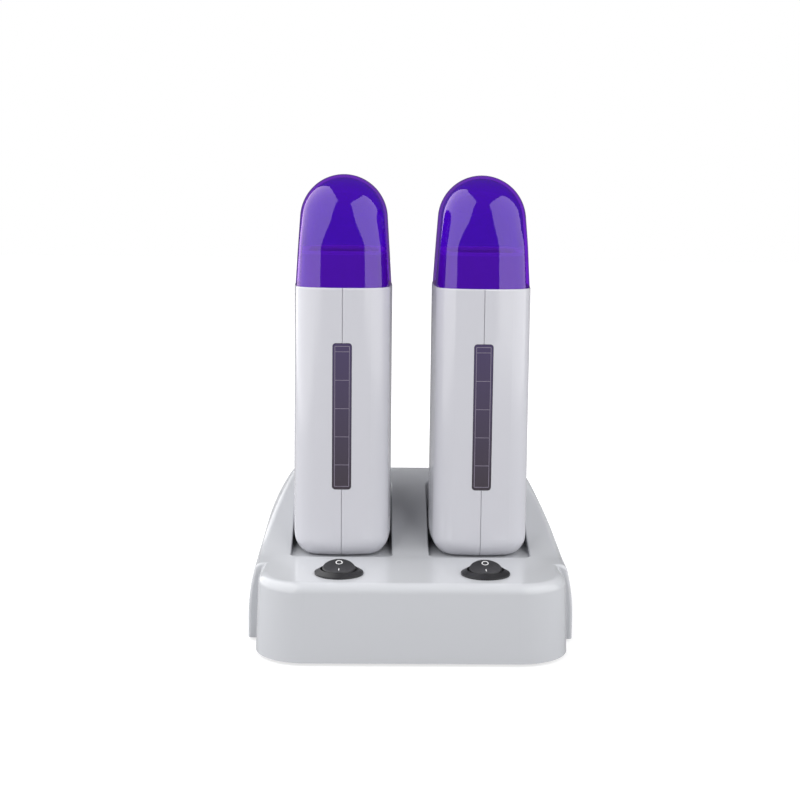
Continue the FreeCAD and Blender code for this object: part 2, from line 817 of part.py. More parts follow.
def pin_form():
    """Contact pin along +Z with a rounded tip, in the axes of its socket block."""
    body = new_body("pin_form")
    sketch = new_sketch(body, "XZ_Plane")
    outline(sketch, [
        ("0", "pin_setback"),
        ("pin_radius - pin_tip", "pin_setback", "pin_tip", 1),
        ("pin_radius", "pin_setback + pin_tip"),
        ("pin_radius", f"{RECESS} + inlet_back + tail_length"),
        ("0", f"{RECESS} + inlet_back + tail_length"),
    ])
    revolve(body, sketch)
    return body


def sleeve_form():
    """Contact sleeve of the dock connector, with a solid tail. Zero is the pocket floor."""
    body = new_body("sleeve_form")
    sketch = new_sketch(body, "XZ_Plane")
    bore = "(pin_radius + pin_gap)"
    outside = f"({bore} + sleeve_skin)"
    underside = "(-base_wall - plug_flange_thickness)"
    outline(sketch, [
        ("0", f"{underside} - tail_length"),
        ("tail_radius", f"{underside} - tail_length"),
        ("tail_radius", underside),
        (outside, underside),
        (outside, "plug_height - sleeve_skin"),
        (bore, "plug_height - sleeve_skin"),
        (bore, "0"),
        ("0", "0"),
    ])
    revolve(body, sketch)
    return body


def dock_connector(side, sign, sleeve):
    """Plug block that stands in a pocket, held by its flange under the pocket floor."""
    body = new_body(f"dock_plug_{side}")
    flange = new_sketch(body, "XY_Plane", "-base_wall - plug_flange_thickness")
    outline(flange, rounded_rectangle(
        "0", "0", "(plug_width + 2 * plug_flange)", "(plug_depth + 2 * plug_flange)", "plug_flange / 2"))
    pad(body, flange, "plug_flange_thickness")
    block = new_sketch(body, "XY_Plane", "-base_wall")
    outline(block, slot_outline("0", "0", "plug_width", "plug_depth"))
    pad(body, block, "base_wall + plug_height")
    round_edges(body, "plug_end_gap", lambda shape, edge: at_level(edge, value("plug_height")))
    holes = new_sketch(body, "XY_Plane", "plug_height")
    for hand in SIDES.values():
        circle(holes, f"{hand} * pin_spacing / 2", "0", "pin_radius + pin_gap + sleeve_skin + sleeve_gap")
    pocket(body, holes)
    place(body, f"{sign} * {UNIT_X}", UNIT_Y, POCKET_FLOOR)
    piece(body, f"dock_plug_{side}")
    sleeves = []
    for end, hand in SIDES.items():
        contact = copy_of(sleeve, f"dock_sleeve_{side}_{end}")
        place(contact, f"{sign} * {UNIT_X} + {hand} * pin_spacing / 2", UNIT_Y, POCKET_FLOOR)
        sleeves.append(contact)
    group(f"dock_contacts_{side}", sleeves)


def mains_inlet(pin):
    """Two-pole inlet in the back wall. Its own -Z looks out of the back."""
    outward = FreeCAD.Rotation(FreeCAD.Vector(1, 0, 0), 90)
    body = new_body("mains_inlet")
    flange = new_sketch(body, "XY_Plane")
    outline(flange, rounded_rectangle(
        "0", "0", f"({INLET_WIDTH} + 2 * inlet_flange)",
        f"({INLET_DEPTH} + 2 * inlet_flange)", "inlet_flange"))
    pad(body, flange, "inlet_flange_thickness")
    socket_block(body, "0")
    place(body, "0", BACK, "inlet_height", outward)
    piece(body, "mains_inlet")
    pins = []
    for side, sign in SIDES.items():
        contact = copy_of(pin, f"mains_pin_{side}")
        place(contact, f"{sign} * pin_spacing / 2", BACK, "inlet_height", outward)
        pins.append(contact)
    group("mains_pins", pins)


# Rocker switches

def switch_body(side, sign):
    """Bezel, barrel and snap-in wings. Zero is the top of the panel and the rocker's axis."""
    body = new_body(f"switch_body_{side}")
    sketch = new_sketch(body, "XZ_Plane")
    opening = "(rocker_radius + rocker_gap)"
    inner_floor = "(switch_floor - switch_barrel_depth)"
    outline(sketch, [
        ("0", "-switch_barrel_depth"),
        ("switch_barrel_radius", "-switch_barrel_depth"),
        ("switch_barrel_radius", "0"),
        ("switch_flange_radius", "0"),
        ("switch_flange_radius", "switch_rim"),
        ("switch_crown_radius", "switch_crown"),
        (opening, "switch_rim"),
        (opening, inner_floor),
        ("0", inner_floor),
    ])
    revolve(body, sketch)
    wings = new_sketch(body, "YZ_Plane")
    latch = "(-base_wall - plate_gap)"
    reach = "(switch_barrel_radius + switch_latch)"
    for hand in SIDES.values():
        outline(wings, [
            (f"{hand} * (switch_barrel_radius - switch_rim)", latch),
            (f"{hand} * {reach}", latch),
            (f"{hand} * (switch_barrel_radius - switch_rim)", "-switch_barrel_depth + switch_floor"),
        ])
    pad(body, wings, "blade_width", both=True)
    bearing = new_sketch(body, "YZ_Plane")
    circle(bearing, "0", "0", "pivot_radius + pivot_gap")
    pocket(body, bearing, "2 * (rocker_radius + pivot_length + pivot_gap)", both=True)
    slots = new_sketch(body, "XY_Plane", "-switch_barrel_depth")
    for hand in SIDES.values():
        middle = f"{hand} * blade_spacing / 2"
        outline(slots, rectangle(
            "-blade_width / 2 - sleeve_gap", f"{middle} - blade_thickness / 2 - sleeve_gap",
            "blade_width / 2 + sleeve_gap", f"{middle} + blade_thickness / 2 + sleeve_gap"))
    pocket(body, slots, "blade_root", reverse=True)
    place(body, f"{sign} * {SWITCH_X}", SWITCH_Y, "panel_height")
    return piece(body, f"switch_body_{side}")


def switch_terminals(side, sign):
    blades = []
    for end, hand in SIDES.items():
        blade = doc.addObject("Part::Box", f"blade_{side}_{end}")
        bind(blade, "Length", "blade_width")
        bind(blade, "Width", "blade_thickness")
        bind(blade, "Height", "blade_length + blade_root - sleeve_gap")
        place(blade, f"{sign} * {SWITCH_X} - blade_width / 2",
              f"{SWITCH_Y} + {hand} * blade_spacing / 2 - blade_thickness / 2",
              "panel_height - switch_barrel_depth - blade_length")
        blades.append(blade)
    return group(f"switch_terminals_{side}", blades)


def rocker(side, sign):
    """Round rocker with a dished face, tilted so that its front half is pressed."""
    body = new_body(f"rocker_{side}")
    disc = new_sketch(body, "XY_Plane", "-rocker_skirt")
    circle(disc, "0", "0", "rocker_radius")
    pad(body, disc, "rocker_skirt + rocker_height")
    dish = new_sketch(body, "YZ_Plane")
    reach = "(rocker_radius + rocker_dish)"
    outline(dish, [
        (f"-{reach}", "rocker_height", f"(({reach} ^ 2 + rocker_dish ^ 2) / (2 * rocker_dish))", 1),
        (reach, "rocker_height"),
        (reach, "2 * rocker_height"),
        (f"-{reach}", "2 * rocker_height"),
    ])
    pocket(body, dish, both=True)
    round_edges(body, "rocker_dish / 2",
                lambda shape, edge: edge.BoundBox.ZMin > value("rocker_height - 2 * rocker_dish"))
    hollow = new_sketch(body, "XY_Plane", "-rocker_skirt")
    circle(hollow, "0", "0", "rocker_radius - rocker_wall")
    pocket(body, hollow, "rocker_skirt + rocker_height - rocker_face", reverse=True)
    pivot = new_sketch(body, "YZ_Plane")
    circle(pivot, "0", "0", "pivot_radius")
    pad(body, pivot, "2 * (rocker_radius + pivot_length)", both=True)
    tilt = FreeCAD.Rotation(FreeCAD.Vector(1, 0, 0), value("rocker_tilt"))
    place(body, f"{sign} * {SWITCH_X}", SWITCH_Y, "panel_height", tilt)
    bind(body, "Placement.Rotation.Angle", "rocker_tilt")
    return piece(body, f"rocker_{side}")


# Hand units, built about the middle of their own underside

def shell_form():
    """Both half-shells of a hand unit in one piece."""
    body = new_body("shell_form")
    bottom = new_sketch(body, "XY_Plane")
    unit_section(bottom, "(-unit_flare)")
    top = new_sketch(body, "XY_Plane", "unit_height")
    unit_section(top, "0")
    loft(body, [bottom, top], ruled=True)
    neck_base = new_sketch(body, "XY_Plane", "unit_height")
    unit_section(neck_base, NECK_BASE_INSET)
    neck_top = new_sketch(body, "XY_Plane", NECK_TOP)
    unit_section(neck_top, NECK_TOP_INSET)
    loft(body, [neck_base, neck_top], ruled=True)
    bore = new_sketch(body, "XY_Plane", NECK_TOP)
    unit_section(bore, BORE_INSET)
    pocket(body, bore, "neck_height + 2 * neck_root")
    cavity = new_sketch(body, "XY_Plane", "unit_height - neck_root")
    unit_section(cavity, "shell_wall")
    pocket(body, cavity, "unit_height - neck_root - shell_wall")
    round_edges(body, "unit_foot_radius - shell_wall",
                lambda shape, edge: at_level(edge, value("shell_wall")))
    round_edges(body, "unit_foot_radius", lambda shape, edge: at_level(edge, 0))
    round_edges(body, "shell_lip", shell_shoulder)
    window = new_sketch(body, "XZ_Plane")
    outline(window, rounded_rectangle(
        "0", "window_level", "(window_width + 2 * window_gap)", "(window_height + 2 * window_gap)",
        "(window_corner + window_gap)"))
    pocket(body, window, reverse=True)
    inlet = new_sketch(body, "XY_Plane", "2 * shell_wall")
    outline(inlet, slot_outline("0", "0", "(plug_width + 2 * plug_gap)", "(plug_depth + 2 * plug_gap)"))
    pocket(body, inlet)
    bosses = new_sketch(body, "YZ_Plane")
    for hand in SIDES.values():
        circle(bosses, f"{hand} * shell_screw_y", "shell_screw_height", "shell_boss_radius")
    pad(body, bosses, "unit_width - 2 * shell_wall + seam_depth", both=True)
    return body


def shell_shoulder(shape, edge):
    """Outer edges of the ledge that the cap rests on."""
    lowest = min(face.BoundBox.ZMin for face in shape.ancestorsOfType(edge, Part.Face))
    return at_level(edge, value("unit_height")) and lowest < value("unit_height / 2")


def seam_ring(sketch):
    """Everything outside a profile that lies a little inside the shell's outline in the seam plane."""
    low = "(unit_depth / 2 + unit_flare - seam_depth)"
    high = "(unit_depth / 2 - seam_depth)"
    radius = "(unit_foot_radius - seam_depth)"
    above = f"({NECK_TOP} + neck_height)"
    outline(sketch, rectangle(
        "-unit_depth", "-unit_foot_radius", "unit_depth", f"{above} + unit_foot_radius"))
    outline(sketch, [
        (f"-{low} + {radius}", "seam_depth"),
        (f"{low} - {radius}", "seam_depth", radius, 1),
        (low, "unit_foot_radius"),
        (high, "unit_height"),
        (high, above),
        (f"-{high}", above),
        (f"-{high}", "unit_height"),
        (f"-{low}", "unit_foot_radius", radius, 1),
    ])


def half_shell(form, unit, sign, half):
    """One half of a unit's shell, with a fine groove along the seam."""
    body = copy_of(form, f"shell_{half}_{unit}")
    keeps_right = half == "cover"
    other = new_sketch(body, "YZ_Plane")
    outline(other, rectangle("-unit_depth", "-unit_depth", "unit_depth", f"{NECK_TOP} + unit_depth"))
    pocket(body, other, reverse=not keeps_right)
    groove = new_sketch(body, "YZ_Plane")
    seam_ring(groove)
    pocket(body, groove, "seam_gap / 2", reverse=keeps_right)
    holes = new_sketch(body, "YZ_Plane")
    gap = "screw_gap" if keeps_right else "thread_gap"
    for hand in SIDES.values():
        circle(holes, f"{hand} * shell_screw_y", "shell_screw_height", f"screw_radius + {gap}")
    if keeps_right:
        pocket(body, holes, reverse=True)
        seats = new_sketch(body, "YZ_Plane", "shell_screw_seat")
        for hand in SIDES.values():
            circle(seats, f"{hand} * shell_screw_y", "shell_screw_height", "screw_head_radius + screw_gap")
        pocket(body, seats, reverse=True)
    else:
        pocket(body, holes, "screw_length")
    place(body, f"{sign} * {UNIT_X}", UNIT_Y, POCKET_FLOOR)
    return piece(body, f"shell_{half}_{unit}")


def window(unit, sign):
    """Level window: a curved lens with a flange behind the shell."""
    body = new_body(f"window_{unit}")
    lens = new_sketch(body, "XY_Plane", "window_level - window_height / 2")
    half = "(window_width / 2)"
    face = "(unit_depth / 2 - window_recess)"
    face_radius = "(face_bulge - window_recess)"
    wall = "(unit_depth / 2 - shell_wall)"
    wall_radius = "(face_bulge - shell_wall)"
    flange_half = "(window_width / 2 + window_flange)"

    def at(depth, radius, across):
        """Y of a point on a face of the given depth and bulge."""
        return f"({radius} - {depth} - sqrt({radius} ^ 2 - {across} ^ 2))"

    back = f"({wall} - seat_gap - window_skin)"
    back_radius = f"({wall_radius} - seat_gap - window_skin)"
    seat = f"({wall} - seat_gap)"
    seat_radius = f"({wall_radius} - seat_gap)"
    outline(lens, [
        (f"-{half}", at(face, face_radius, half), face_radius, 1),
        (half, at(face, face_radius, half)),
        (half, at(back, back_radius, half), back_radius, -1),
        (f"-{half}", at(back, back_radius, half)),
    ])
    pad(body, lens, "window_height")
    round_edges(body, "window_corner", lambda shape, edge: edge.BoundBox.YLength > value("window_skin"))
    flange = new_sketch(body, "XY_Plane", "window_level - window_height / 2 - window_flange")
    outline(flange, [
        (f"-{flange_half}", at(seat, seat_radius, flange_half), seat_radius, 1),
        (flange_half, at(seat, seat_radius, flange_half)),
        (flange_half, at(back, back_radius, flange_half), back_radius, -1),
        (f"-{flange_half}", at(back, back_radius, flange_half)),
    ])
    pad(body, flange, "window_height + 2 * window_flange")
    place(body, f"{sign} * {UNIT_X}", UNIT_Y, POCKET_FLOOR)
    return piece(body, f"window_{unit}")


CHAMBER_TOP = f"({NECK_TOP} - seat_gap)"
SLEEVE_SIDE = "(chamber_width / 2 + chamber_wall + seat_gap)"


def chamber(unit, sign):
    """Aluminium sleeve that holds and heats the cartridge, with a slot behind the window."""
    body = new_body(f"chamber_{unit}")
    outside = new_sketch(body, "XY_Plane", "chamber_floor")
    outline(outside, rounded_rectangle(
        "0", "0", "(chamber_width + 2 * chamber_wall)", "(chamber_depth + 2 * chamber_wall)",
        "(chamber_corner + chamber_wall)"))
    pad(body, outside, f"{CHAMBER_TOP} - chamber_floor")
    inside = new_sketch(body, "XY_Plane", CHAMBER_TOP)
    outline(inside, rounded_rectangle("0", "0", "chamber_width", "chamber_depth", "chamber_corner"))
    pocket(body, inside, f"{CHAMBER_TOP} - chamber_floor - chamber_wall")
    slot = new_sketch(body, "XZ_Plane")
    outline(slot, rounded_rectangle(
        "0", "window_level", "chamber_slot", "(window_height - 2 * window_flange)", "window_corner"))
    pocket(body, slot, reverse=True)
    place(body, f"{sign} * {UNIT_X}", UNIT_Y, POCKET_FLOOR)
    return piece(body, f"chamber_{unit}")


def mouth_ring(unit, sign):
    """Ring on top of the neck that closes the gap round the sleeve."""
    body = new_body(f"mouth_ring_{unit}")
    plate = new_sketch(body, "XY_Plane", NECK_TOP)
    unit_section(plate, f"({NECK_TOP_INSET} + ring_gap)")
    pad(body, plate, "ring_thickness")
    skirt = new_sketch(body, "XY_Plane", NECK_TOP)
    unit_section(skirt, f"({BORE_INSET} + ring_gap)")
    pad(body, skirt, "ring_skirt", reverse=True)
    clear = new_sketch(body, "XY_Plane", NECK_TOP)
    outline(clear, rounded_rectangle(
        "0", "0", "(chamber_width + 2 * chamber_wall + 2 * ring_gap)",
        "(chamber_depth + 2 * chamber_wall + 2 * ring_gap)", "(chamber_corner + chamber_wall + ring_gap)"))
    pocket(body, clear)
    mouth = new_sketch(body, "XY_Plane", f"{NECK_TOP} + ring_thickness")
    outline(mouth, rounded_rectangle("0", "0", "chamber_width", "chamber_depth", "chamber_corner"))
    pocket(body, mouth)
    round_edges(body, "ring_edge",
                lambda shape, edge: at_level(edge, value(f"{NECK_TOP} + ring_thickness")))
    place(body, f"{sign} * {UNIT_X}", UNIT_Y, POCKET_FLOOR)
    return piece(body, f"mouth_ring_{unit}")


def heater(unit, sign):
    """Flat heater plate on the right side of the sleeve, and the thermal cut-out on the left."""
    plate = doc.addObject("Part::Box", f"heater_{unit}")
    bind(plate, "Length", "heater_thickness")
    bind(plate, "Width", "heater_width")
    bind(plate, "Height", "heater_length")
    place(plate, f"{sign} * {UNIT_X} + {SLEEVE_SIDE}", f"{UNIT_Y} - heater_width / 2",
          f"{POCKET_FLOOR} + heater_level - heater_length / 2")
    piece(plate, f"heater_{unit}")
    cutout = doc.addObject("Part::Box", f"thermal_cutout_{unit}")
    bind(cutout, "Length", "cutout_thickness")
    bind(cutout, "Width", "cutout_width")
    bind(cutout, "Height", "cutout_length")
    place(cutout, f"{sign} * {UNIT_X} - {SLEEVE_SIDE} - cutout_thickness", f"{UNIT_Y} - cutout_width / 2",
          f"{POCKET_FLOOR} + cutout_level - cutout_length / 2")
    piece(cutout, f"thermal_cutout_{unit}")


def heater_clip(unit, sign):
    """Spring strap that holds the heater plate against the sleeve."""
    body = new_body(f"heater_clip_{unit}")
    sketch = new_sketch(body, "XZ_Plane")
    under = f"({SLEEVE_SIDE} + heater_thickness + seat_gap)"
    low = "(heater_level - heater_length / 2 - clip_reach)"
    high = "(heater_level + heater_length / 2 + clip_reach)"
    outline(sketch, [
        (SLEEVE_SIDE, low),
        (f"{under} + clip_thickness", low),
        (f"{under} + clip_thickness", high),
        (SLEEVE_SIDE, high),
        (SLEEVE_SIDE, f"{high} - clip_thickness"),
        (under, f"{high} - clip_thickness"),
        (under, f"{low} + clip_thickness"),
        (SLEEVE_SIDE, f"{low} + clip_thickness"),
    ])
    pad(body, sketch, "clip_width", both=True)
    place(body, f"{sign} * {UNIT_X}", UNIT_Y, POCKET_FLOOR)
    return piece(body, f"heater_clip_{unit}")


def unit_inlet(unit, sign, pin):
    """Two-pole inlet in the underside of a unit."""
    body = new_body(f"unit_inlet_{unit}")
    socket_block(body, "shell_wall")
    place(body, f"{sign} * {UNIT_X}", UNIT_Y, POCKET_FLOOR)
    piece(body, f"unit_inlet_{unit}")
    pins = []
    for end, hand in SIDES.items():
        contact = copy_of(pin, f"unit_pin_{unit}_{end}")
        place(contact, f"{sign} * {UNIT_X} + {hand} * pin_spacing / 2", UNIT_Y, POCKET_FLOOR)
        pins.append(contact)
    group(f"unit_pins_{unit}", pins)


def shell_screws(unit, sign, screw):
    inward = FreeCAD.Rotation(FreeCAD.Vector(0, 1, 0), -90)
    screws = []
    for end, hand in SIDES.items():
        member = copy_of(screw, f"shell_screw_{unit}_{end}")
        place(member, f"{sign} * {UNIT_X} + shell_screw_seat", f"{UNIT_Y} + {hand} * shell_screw_y",
              f"{POCKET_FLOOR} + shell_screw_height", inward)
        screws.append(member)
    return group(f"shell_screws_{unit}", screws)


# Caps

DOME_ANGLES = ("cap_draft", "18", "32", "45", "57", "68", "77", "84", "88")


def cap_solid(body, wall, cut):
    """Cap shape: straight drafted sides, then a round dome that ends in a tiny flat."""
    inset = f"(cap_ledge + {wall})"
    radius = f"(cap_dome_radius - {wall})"
    middle = "(cap_height - cap_dome_radius)"
    shoulder = f"({middle} + {radius} * sin(cap_draft * 1 deg))"
    shoulder_inset = f"({inset} + {shoulder} * {CAP_SLOPE})"
    foot = new_sketch(body, "XY_Plane", "unit_height")
    unit_section(foot, inset)
    sections = []
    for angle in DOME_ANGLES:
        turn = f"({angle} * 1 deg)"
        sketch = new_sketch(body, "XY_Plane", f"unit_height + {middle} + {radius} * sin{turn}")
        unit_section(sketch, shoulder_inset, scale=f"(cos{turn} / cos(cap_draft * 1 deg))")
        sections.append(sketch)
    loft(body, [foot, sections[0]], cut=cut, ruled=True)
    loft(body, sections, cut=cut)


def cap_form():
    body = new_body("cap_form")
    cap_solid(body, "0", False)
    cap_solid(body, "cap_wall", True)
    return body


def cap(form, side, sign):
    body = copy_of(form, f"cap_{side}")
    place(body, f"{sign} * {UNIT_X}", UNIT_Y, POCKET_FLOOR)
    return piece(body, f"cap_{side}")


# Leads

def lead(label, points, radius, origin=("0", "0", "0")):
    """Insulated lead along straight runs joined by round bends."""
    spots = [FreeCAD.Vector(*(value(text) for text in point)) for point in points]
    bend = value("lead_bend")
    edges = []
    start = spots[0]
    for before, corner, after in zip(spots, spots[1:], spots[2:]):
        incoming = (before - corner).normalize()
        outgoing = (after - corner).normalize()
        first = corner + incoming * bend
        last = corner + outgoing * bend
        middle = corner + (incoming + outgoing) * (bend * (1 - math.sqrt(0.5)))
        edges.append(Part.makeLine(start, first))
        edges.append(Part.Arc(first, middle, last).toShape())
        start = last
    edges.append(Part.makeLine(start, spots[-1]))
    ring = Part.makeCircle(value(radius), spots[0], spots[1] - spots[0])
    item = doc.addObject("Part::Feature", label)
    item.Shape = Part.Wire(edges).makePipeShell([Part.Wire([ring])], True, False)
    place(item, *origin)
    return piece(item, label)


def unit_leads(unit, sign):
    origin = (f"{sign} * {UNIT_X}", UNIT_Y, POCKET_FLOOR)
    tail = f"{RECESS} + inlet_back + tail_length + seat_gap"
    pin = "pin_spacing / 2"
    level = "unit_lead_level"
    heater_x = f"{SLEEVE_SIDE} + heater_thickness / 2"
    heater_end = "heater_level - heater_length / 2 - seat_gap"
    heater_y = "(heater_width / 2 - clip_reach)"
    cutout_x = f"-{SLEEVE_SIDE} - cutout_thickness / 2"
    cutout_low = "cutout_level - cutout_length / 2 - seat_gap"
    cutout_high = "cutout_level + cutout_length / 2 + seat_gap"
    loop = f"{cutout_high} + 2 * lead_bend"
    lead(f"lead_heater_{unit}", [
        (pin, "0", tail),
        (pin, "0", level),
        (pin, heater_y, level),
        (heater_x, heater_y, level),
        (heater_x, heater_y, heater_end),
    ], "unit_lead_radius", origin)
    lead(f"lead_cutout_{unit}", [
        (f"-{pin}", "0", tail),
        (f"-{pin}", "0", level),
        (cutout_x, "0", level),
        (cutout_x, "0", cutout_low),
    ], "unit_lead_radius", origin)
    lead(f"lead_link_{unit}", [
        (cutout_x, "0", cutout_high),
        (cutout_x, "0", loop),
        (cutout_x, f"-{heater_y}", loop),
        (cutout_x, f"-{heater_y}", level),
        (heater_x, f"-{heater_y}", level),
        (heater_x, f"-{heater_y}", heater_end),
    ], "unit_lead_radius", origin)


def base_leads():
    inlet_tail = f"{BACK} - {RECESS} - inlet_back - tail_length - seat_gap"
    drop_y = f"{BACK} - {RECESS} - inlet_back - tail_length - lead_run"
    blade_end = "panel_height - switch_barrel_depth - blade_length - seat_gap"
    live_y = f"{SWITCH_Y} + blade_spacing / 2"
    out_y = f"{SWITCH_Y} - blade_spacing / 2"
    pin = "pin_spacing / 2"
    near = f"({UNIT_X} - pin_spacing / 2)"
    far = f"({UNIT_X} + pin_spacing / 2)"
    sleeve_end = f"{FLOOR_UNDERSIDE} - plug_flange_thickness - tail_length - seat_gap"
    level = "lead_level"
    low = "lead_level - lead_step"
    beside = "blade_width / 4"
    lead("lead_live", [
        (f"-{pin}", inlet_tail, "inlet_height"),
        (f"-{pin}", drop_y, "inlet_height"),
        (f"-{pin}", drop_y, level),
        (f"-{pin}", live_y, level),
        (f"-{SWITCH_X} + {beside}", live_y, level),
        (f"-{SWITCH_X} + {beside}", live_y, blade_end),
    ], "lead_radius")
    lead("lead_live_link", [
        (f"-{SWITCH_X} - {beside}", live_y, blade_end),
        (f"-{SWITCH_X} - {beside}", live_y, low),
        (SWITCH_X, live_y, low),
        (SWITCH_X, live_y, blade_end),
    ], "lead_radius")
    for side, sign in SIDES.items():
        aside = f"{sign} * ({far} + plug_flange + lead_bend)"
        lead(f"lead_switched_{side}", [
            (f"{sign} * {SWITCH_X}", out_y, blade_end),
            (f"{sign} * {SWITCH_X}", out_y, level),
            (aside, out_y, level),
            (aside, UNIT_Y, level),
            (f"{sign} * {far}", UNIT_Y, level),
            (f"{sign} * {far}", UNIT_Y, sleeve_end),
        ], "lead_radius")
    lead("lead_neutral", [
        (pin, inlet_tail, "inlet_height"),
        (pin, drop_y, "inlet_height"),
        (pin, drop_y, level),
        (pin, UNIT_Y, level),
        (near, UNIT_Y, level),
        (near, UNIT_Y, sleeve_end),
    ], "lead_radius")
    tail_side = f"{UNIT_Y} - tail_radius - seat_gap"
    link_y = f"{UNIT_Y} - plug_depth / 2 - 2 * plug_flange"
    link_level = f"{FLOOR_UNDERSIDE} - plug_flange_thickness - tail_length / 2"
    lead("lead_neutral_link", [
        (near, tail_side, link_level),
        (near, link_y, link_level),
        (f"-{near}", link_y, link_level),
        (f"-{near}", tail_side, link_level),
    ], "lead_radius")


def build():
    base_housing()
    base_plate()
    base_feet()
    screw = screw_form()
    pin = pin_form()
    sleeve = sleeve_form()
    base_screws(screw)
    mains_inlet(pin)
    for side, sign in SIDES.items():
        dock_connector(side, sign, sleeve)
        switch_body(side, sign)
        switch_terminals(side, sign)
        rocker(side, sign)
    base_leads()
    shells = shell_form()
    caps = cap_form()
    for unit, sign in SIDES.items():
        half_shell(shells, unit, sign, "frame")
        half_shell(shells, unit, sign, "cover")
        shell_screws(unit, sign, screw)
        window(unit, sign)
        chamber(unit, sign)
        mouth_ring(unit, sign)
        heater(unit, sign)
        heater_clip(unit, sign)
        unit_inlet(unit, sign, pin)
        unit_leads(unit, sign)
        cap(caps, unit, sign)


def write():
    """Check every object, then write each piece to its own file."""
    doc.recompute()
    for item in doc.Objects:
        if {"Invalid", "Error"} & set(item.State):
            raise RuntimeError(f"{item.Name} did not build")
    os.makedirs("parts", exist_ok=True)
    for item in pieces:
        if item.Shape.isNull() or not item.Shape.isValid():
            raise RuntimeError(f"{item.Label} has no valid shape")
        item.Shape.exportStep(f"parts/{item.Label}.step")


build()
write()
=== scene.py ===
import math

import bmesh
import bpy
from mathutils import Matrix, Vector
from mathutils.bvhtree import BVHTree


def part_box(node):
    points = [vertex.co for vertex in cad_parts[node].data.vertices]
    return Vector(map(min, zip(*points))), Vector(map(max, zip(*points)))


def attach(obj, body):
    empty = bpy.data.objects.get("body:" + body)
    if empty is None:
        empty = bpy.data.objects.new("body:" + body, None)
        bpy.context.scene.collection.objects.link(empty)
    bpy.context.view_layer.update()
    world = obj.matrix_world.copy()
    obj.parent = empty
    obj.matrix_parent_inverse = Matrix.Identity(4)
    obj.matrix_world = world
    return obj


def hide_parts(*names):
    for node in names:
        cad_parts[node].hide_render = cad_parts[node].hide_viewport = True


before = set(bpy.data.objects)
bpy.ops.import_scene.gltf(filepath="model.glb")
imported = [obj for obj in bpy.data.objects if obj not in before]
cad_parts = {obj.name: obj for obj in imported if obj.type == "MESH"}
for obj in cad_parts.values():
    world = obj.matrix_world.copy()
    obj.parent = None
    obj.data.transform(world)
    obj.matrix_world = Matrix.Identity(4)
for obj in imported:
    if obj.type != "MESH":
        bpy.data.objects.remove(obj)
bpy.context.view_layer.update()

# Looks of a double roll-on wax heater: finishes, printed marks, light and camera.
# Lengths are metres in the frame of the CAD part. The front faces -Y.

bl_info = {
    "name": "Roll-on Wax Heater Looks",
    "version": (1, 0, 0),
    "blender": (4, 5, 0),
    "location": "3D View > Sidebar > Wax Heater",
    "description": "Finishes, printed marks, light and camera for a docked pair of wax heaters",
    "category": "Material",
}

MM = 0.001
SIDES = ("left", "right")


# Settings

def colour_setting(name, description, default):
    return bpy.props.FloatVectorProperty(
        name=name, description=description, subtype="COLOR", size=3, min=0, max=1, default=default)


def number_setting(name, description, default, low=0.0, high=10.0):
    return bpy.props.FloatProperty(name=name, description=description, default=default, min=low, max=high)


def radii_setting(name, description, millimetres):
    return bpy.props.FloatVectorProperty(
        name=name, description=description, size=3, min=0, default=[radius * MM for radius in millimetres])


class BaseLook(bpy.types.PropertyGroup):
    colour: colour_setting("Housing", "Colour of the base housing", (0.535, 0.545, 0.57))
    roughness: number_setting("Roughness", "Roughness of the glossy housing", 0.16, high=1)
    plate: colour_setting("Plate", "Colour of the plate under the base", (0.40, 0.40, 0.42))


class UnitLook(bpy.types.PropertyGroup):
    colour: colour_setting("Shell", "Colour of the hand units' shells", (0.545, 0.545, 0.585))
    roughness: number_setting("Roughness", "Roughness of the glossy shells", 0.13, high=1)


class WindowLook(bpy.types.PropertyGroup):
    top: colour_setting("Top", "Colour of the smoked lens at its top", (0.066, 0.050, 0.112))
    bottom: colour_setting("Bottom", "Colour of the smoked lens at its bottom", (0.045, 0.036, 0.046))
    mark: colour_setting("Marks", "Colour of the level marks", (0.24, 0.21, 0.28))
    mark_half_width: number_setting("Half width", "Half the width of the marked field", 3.5 * MM, high=0.1)
    mark_line: number_setting("Line", "Width of a mark", 0.24 * MM, high=0.01)
    mark_depth: number_setting(
        "Depth", "How far a mark reaches into and out of a lens", 0.04 * MM, high=0.01)
    mark_count: bpy.props.IntProperty(
        name="Marks", description="Number of level marks", default=5, min=2, max=20)
    mark_spacing: number_setting("Spacing", "Distance between level marks", 13.85 * MM, high=0.1)
    first_mark: number_setting(
        "First", "Distance of the first level mark from the lens's top", 4.0 * MM, high=0.1)
    border: number_setting(
        "Border", "Distance of the marked field from the lens's ends", 1.4 * MM, high=0.1)
    lens_radius: number_setting("Lens radius", "Radius of the lens's front", 59.85 * MM, high=1)


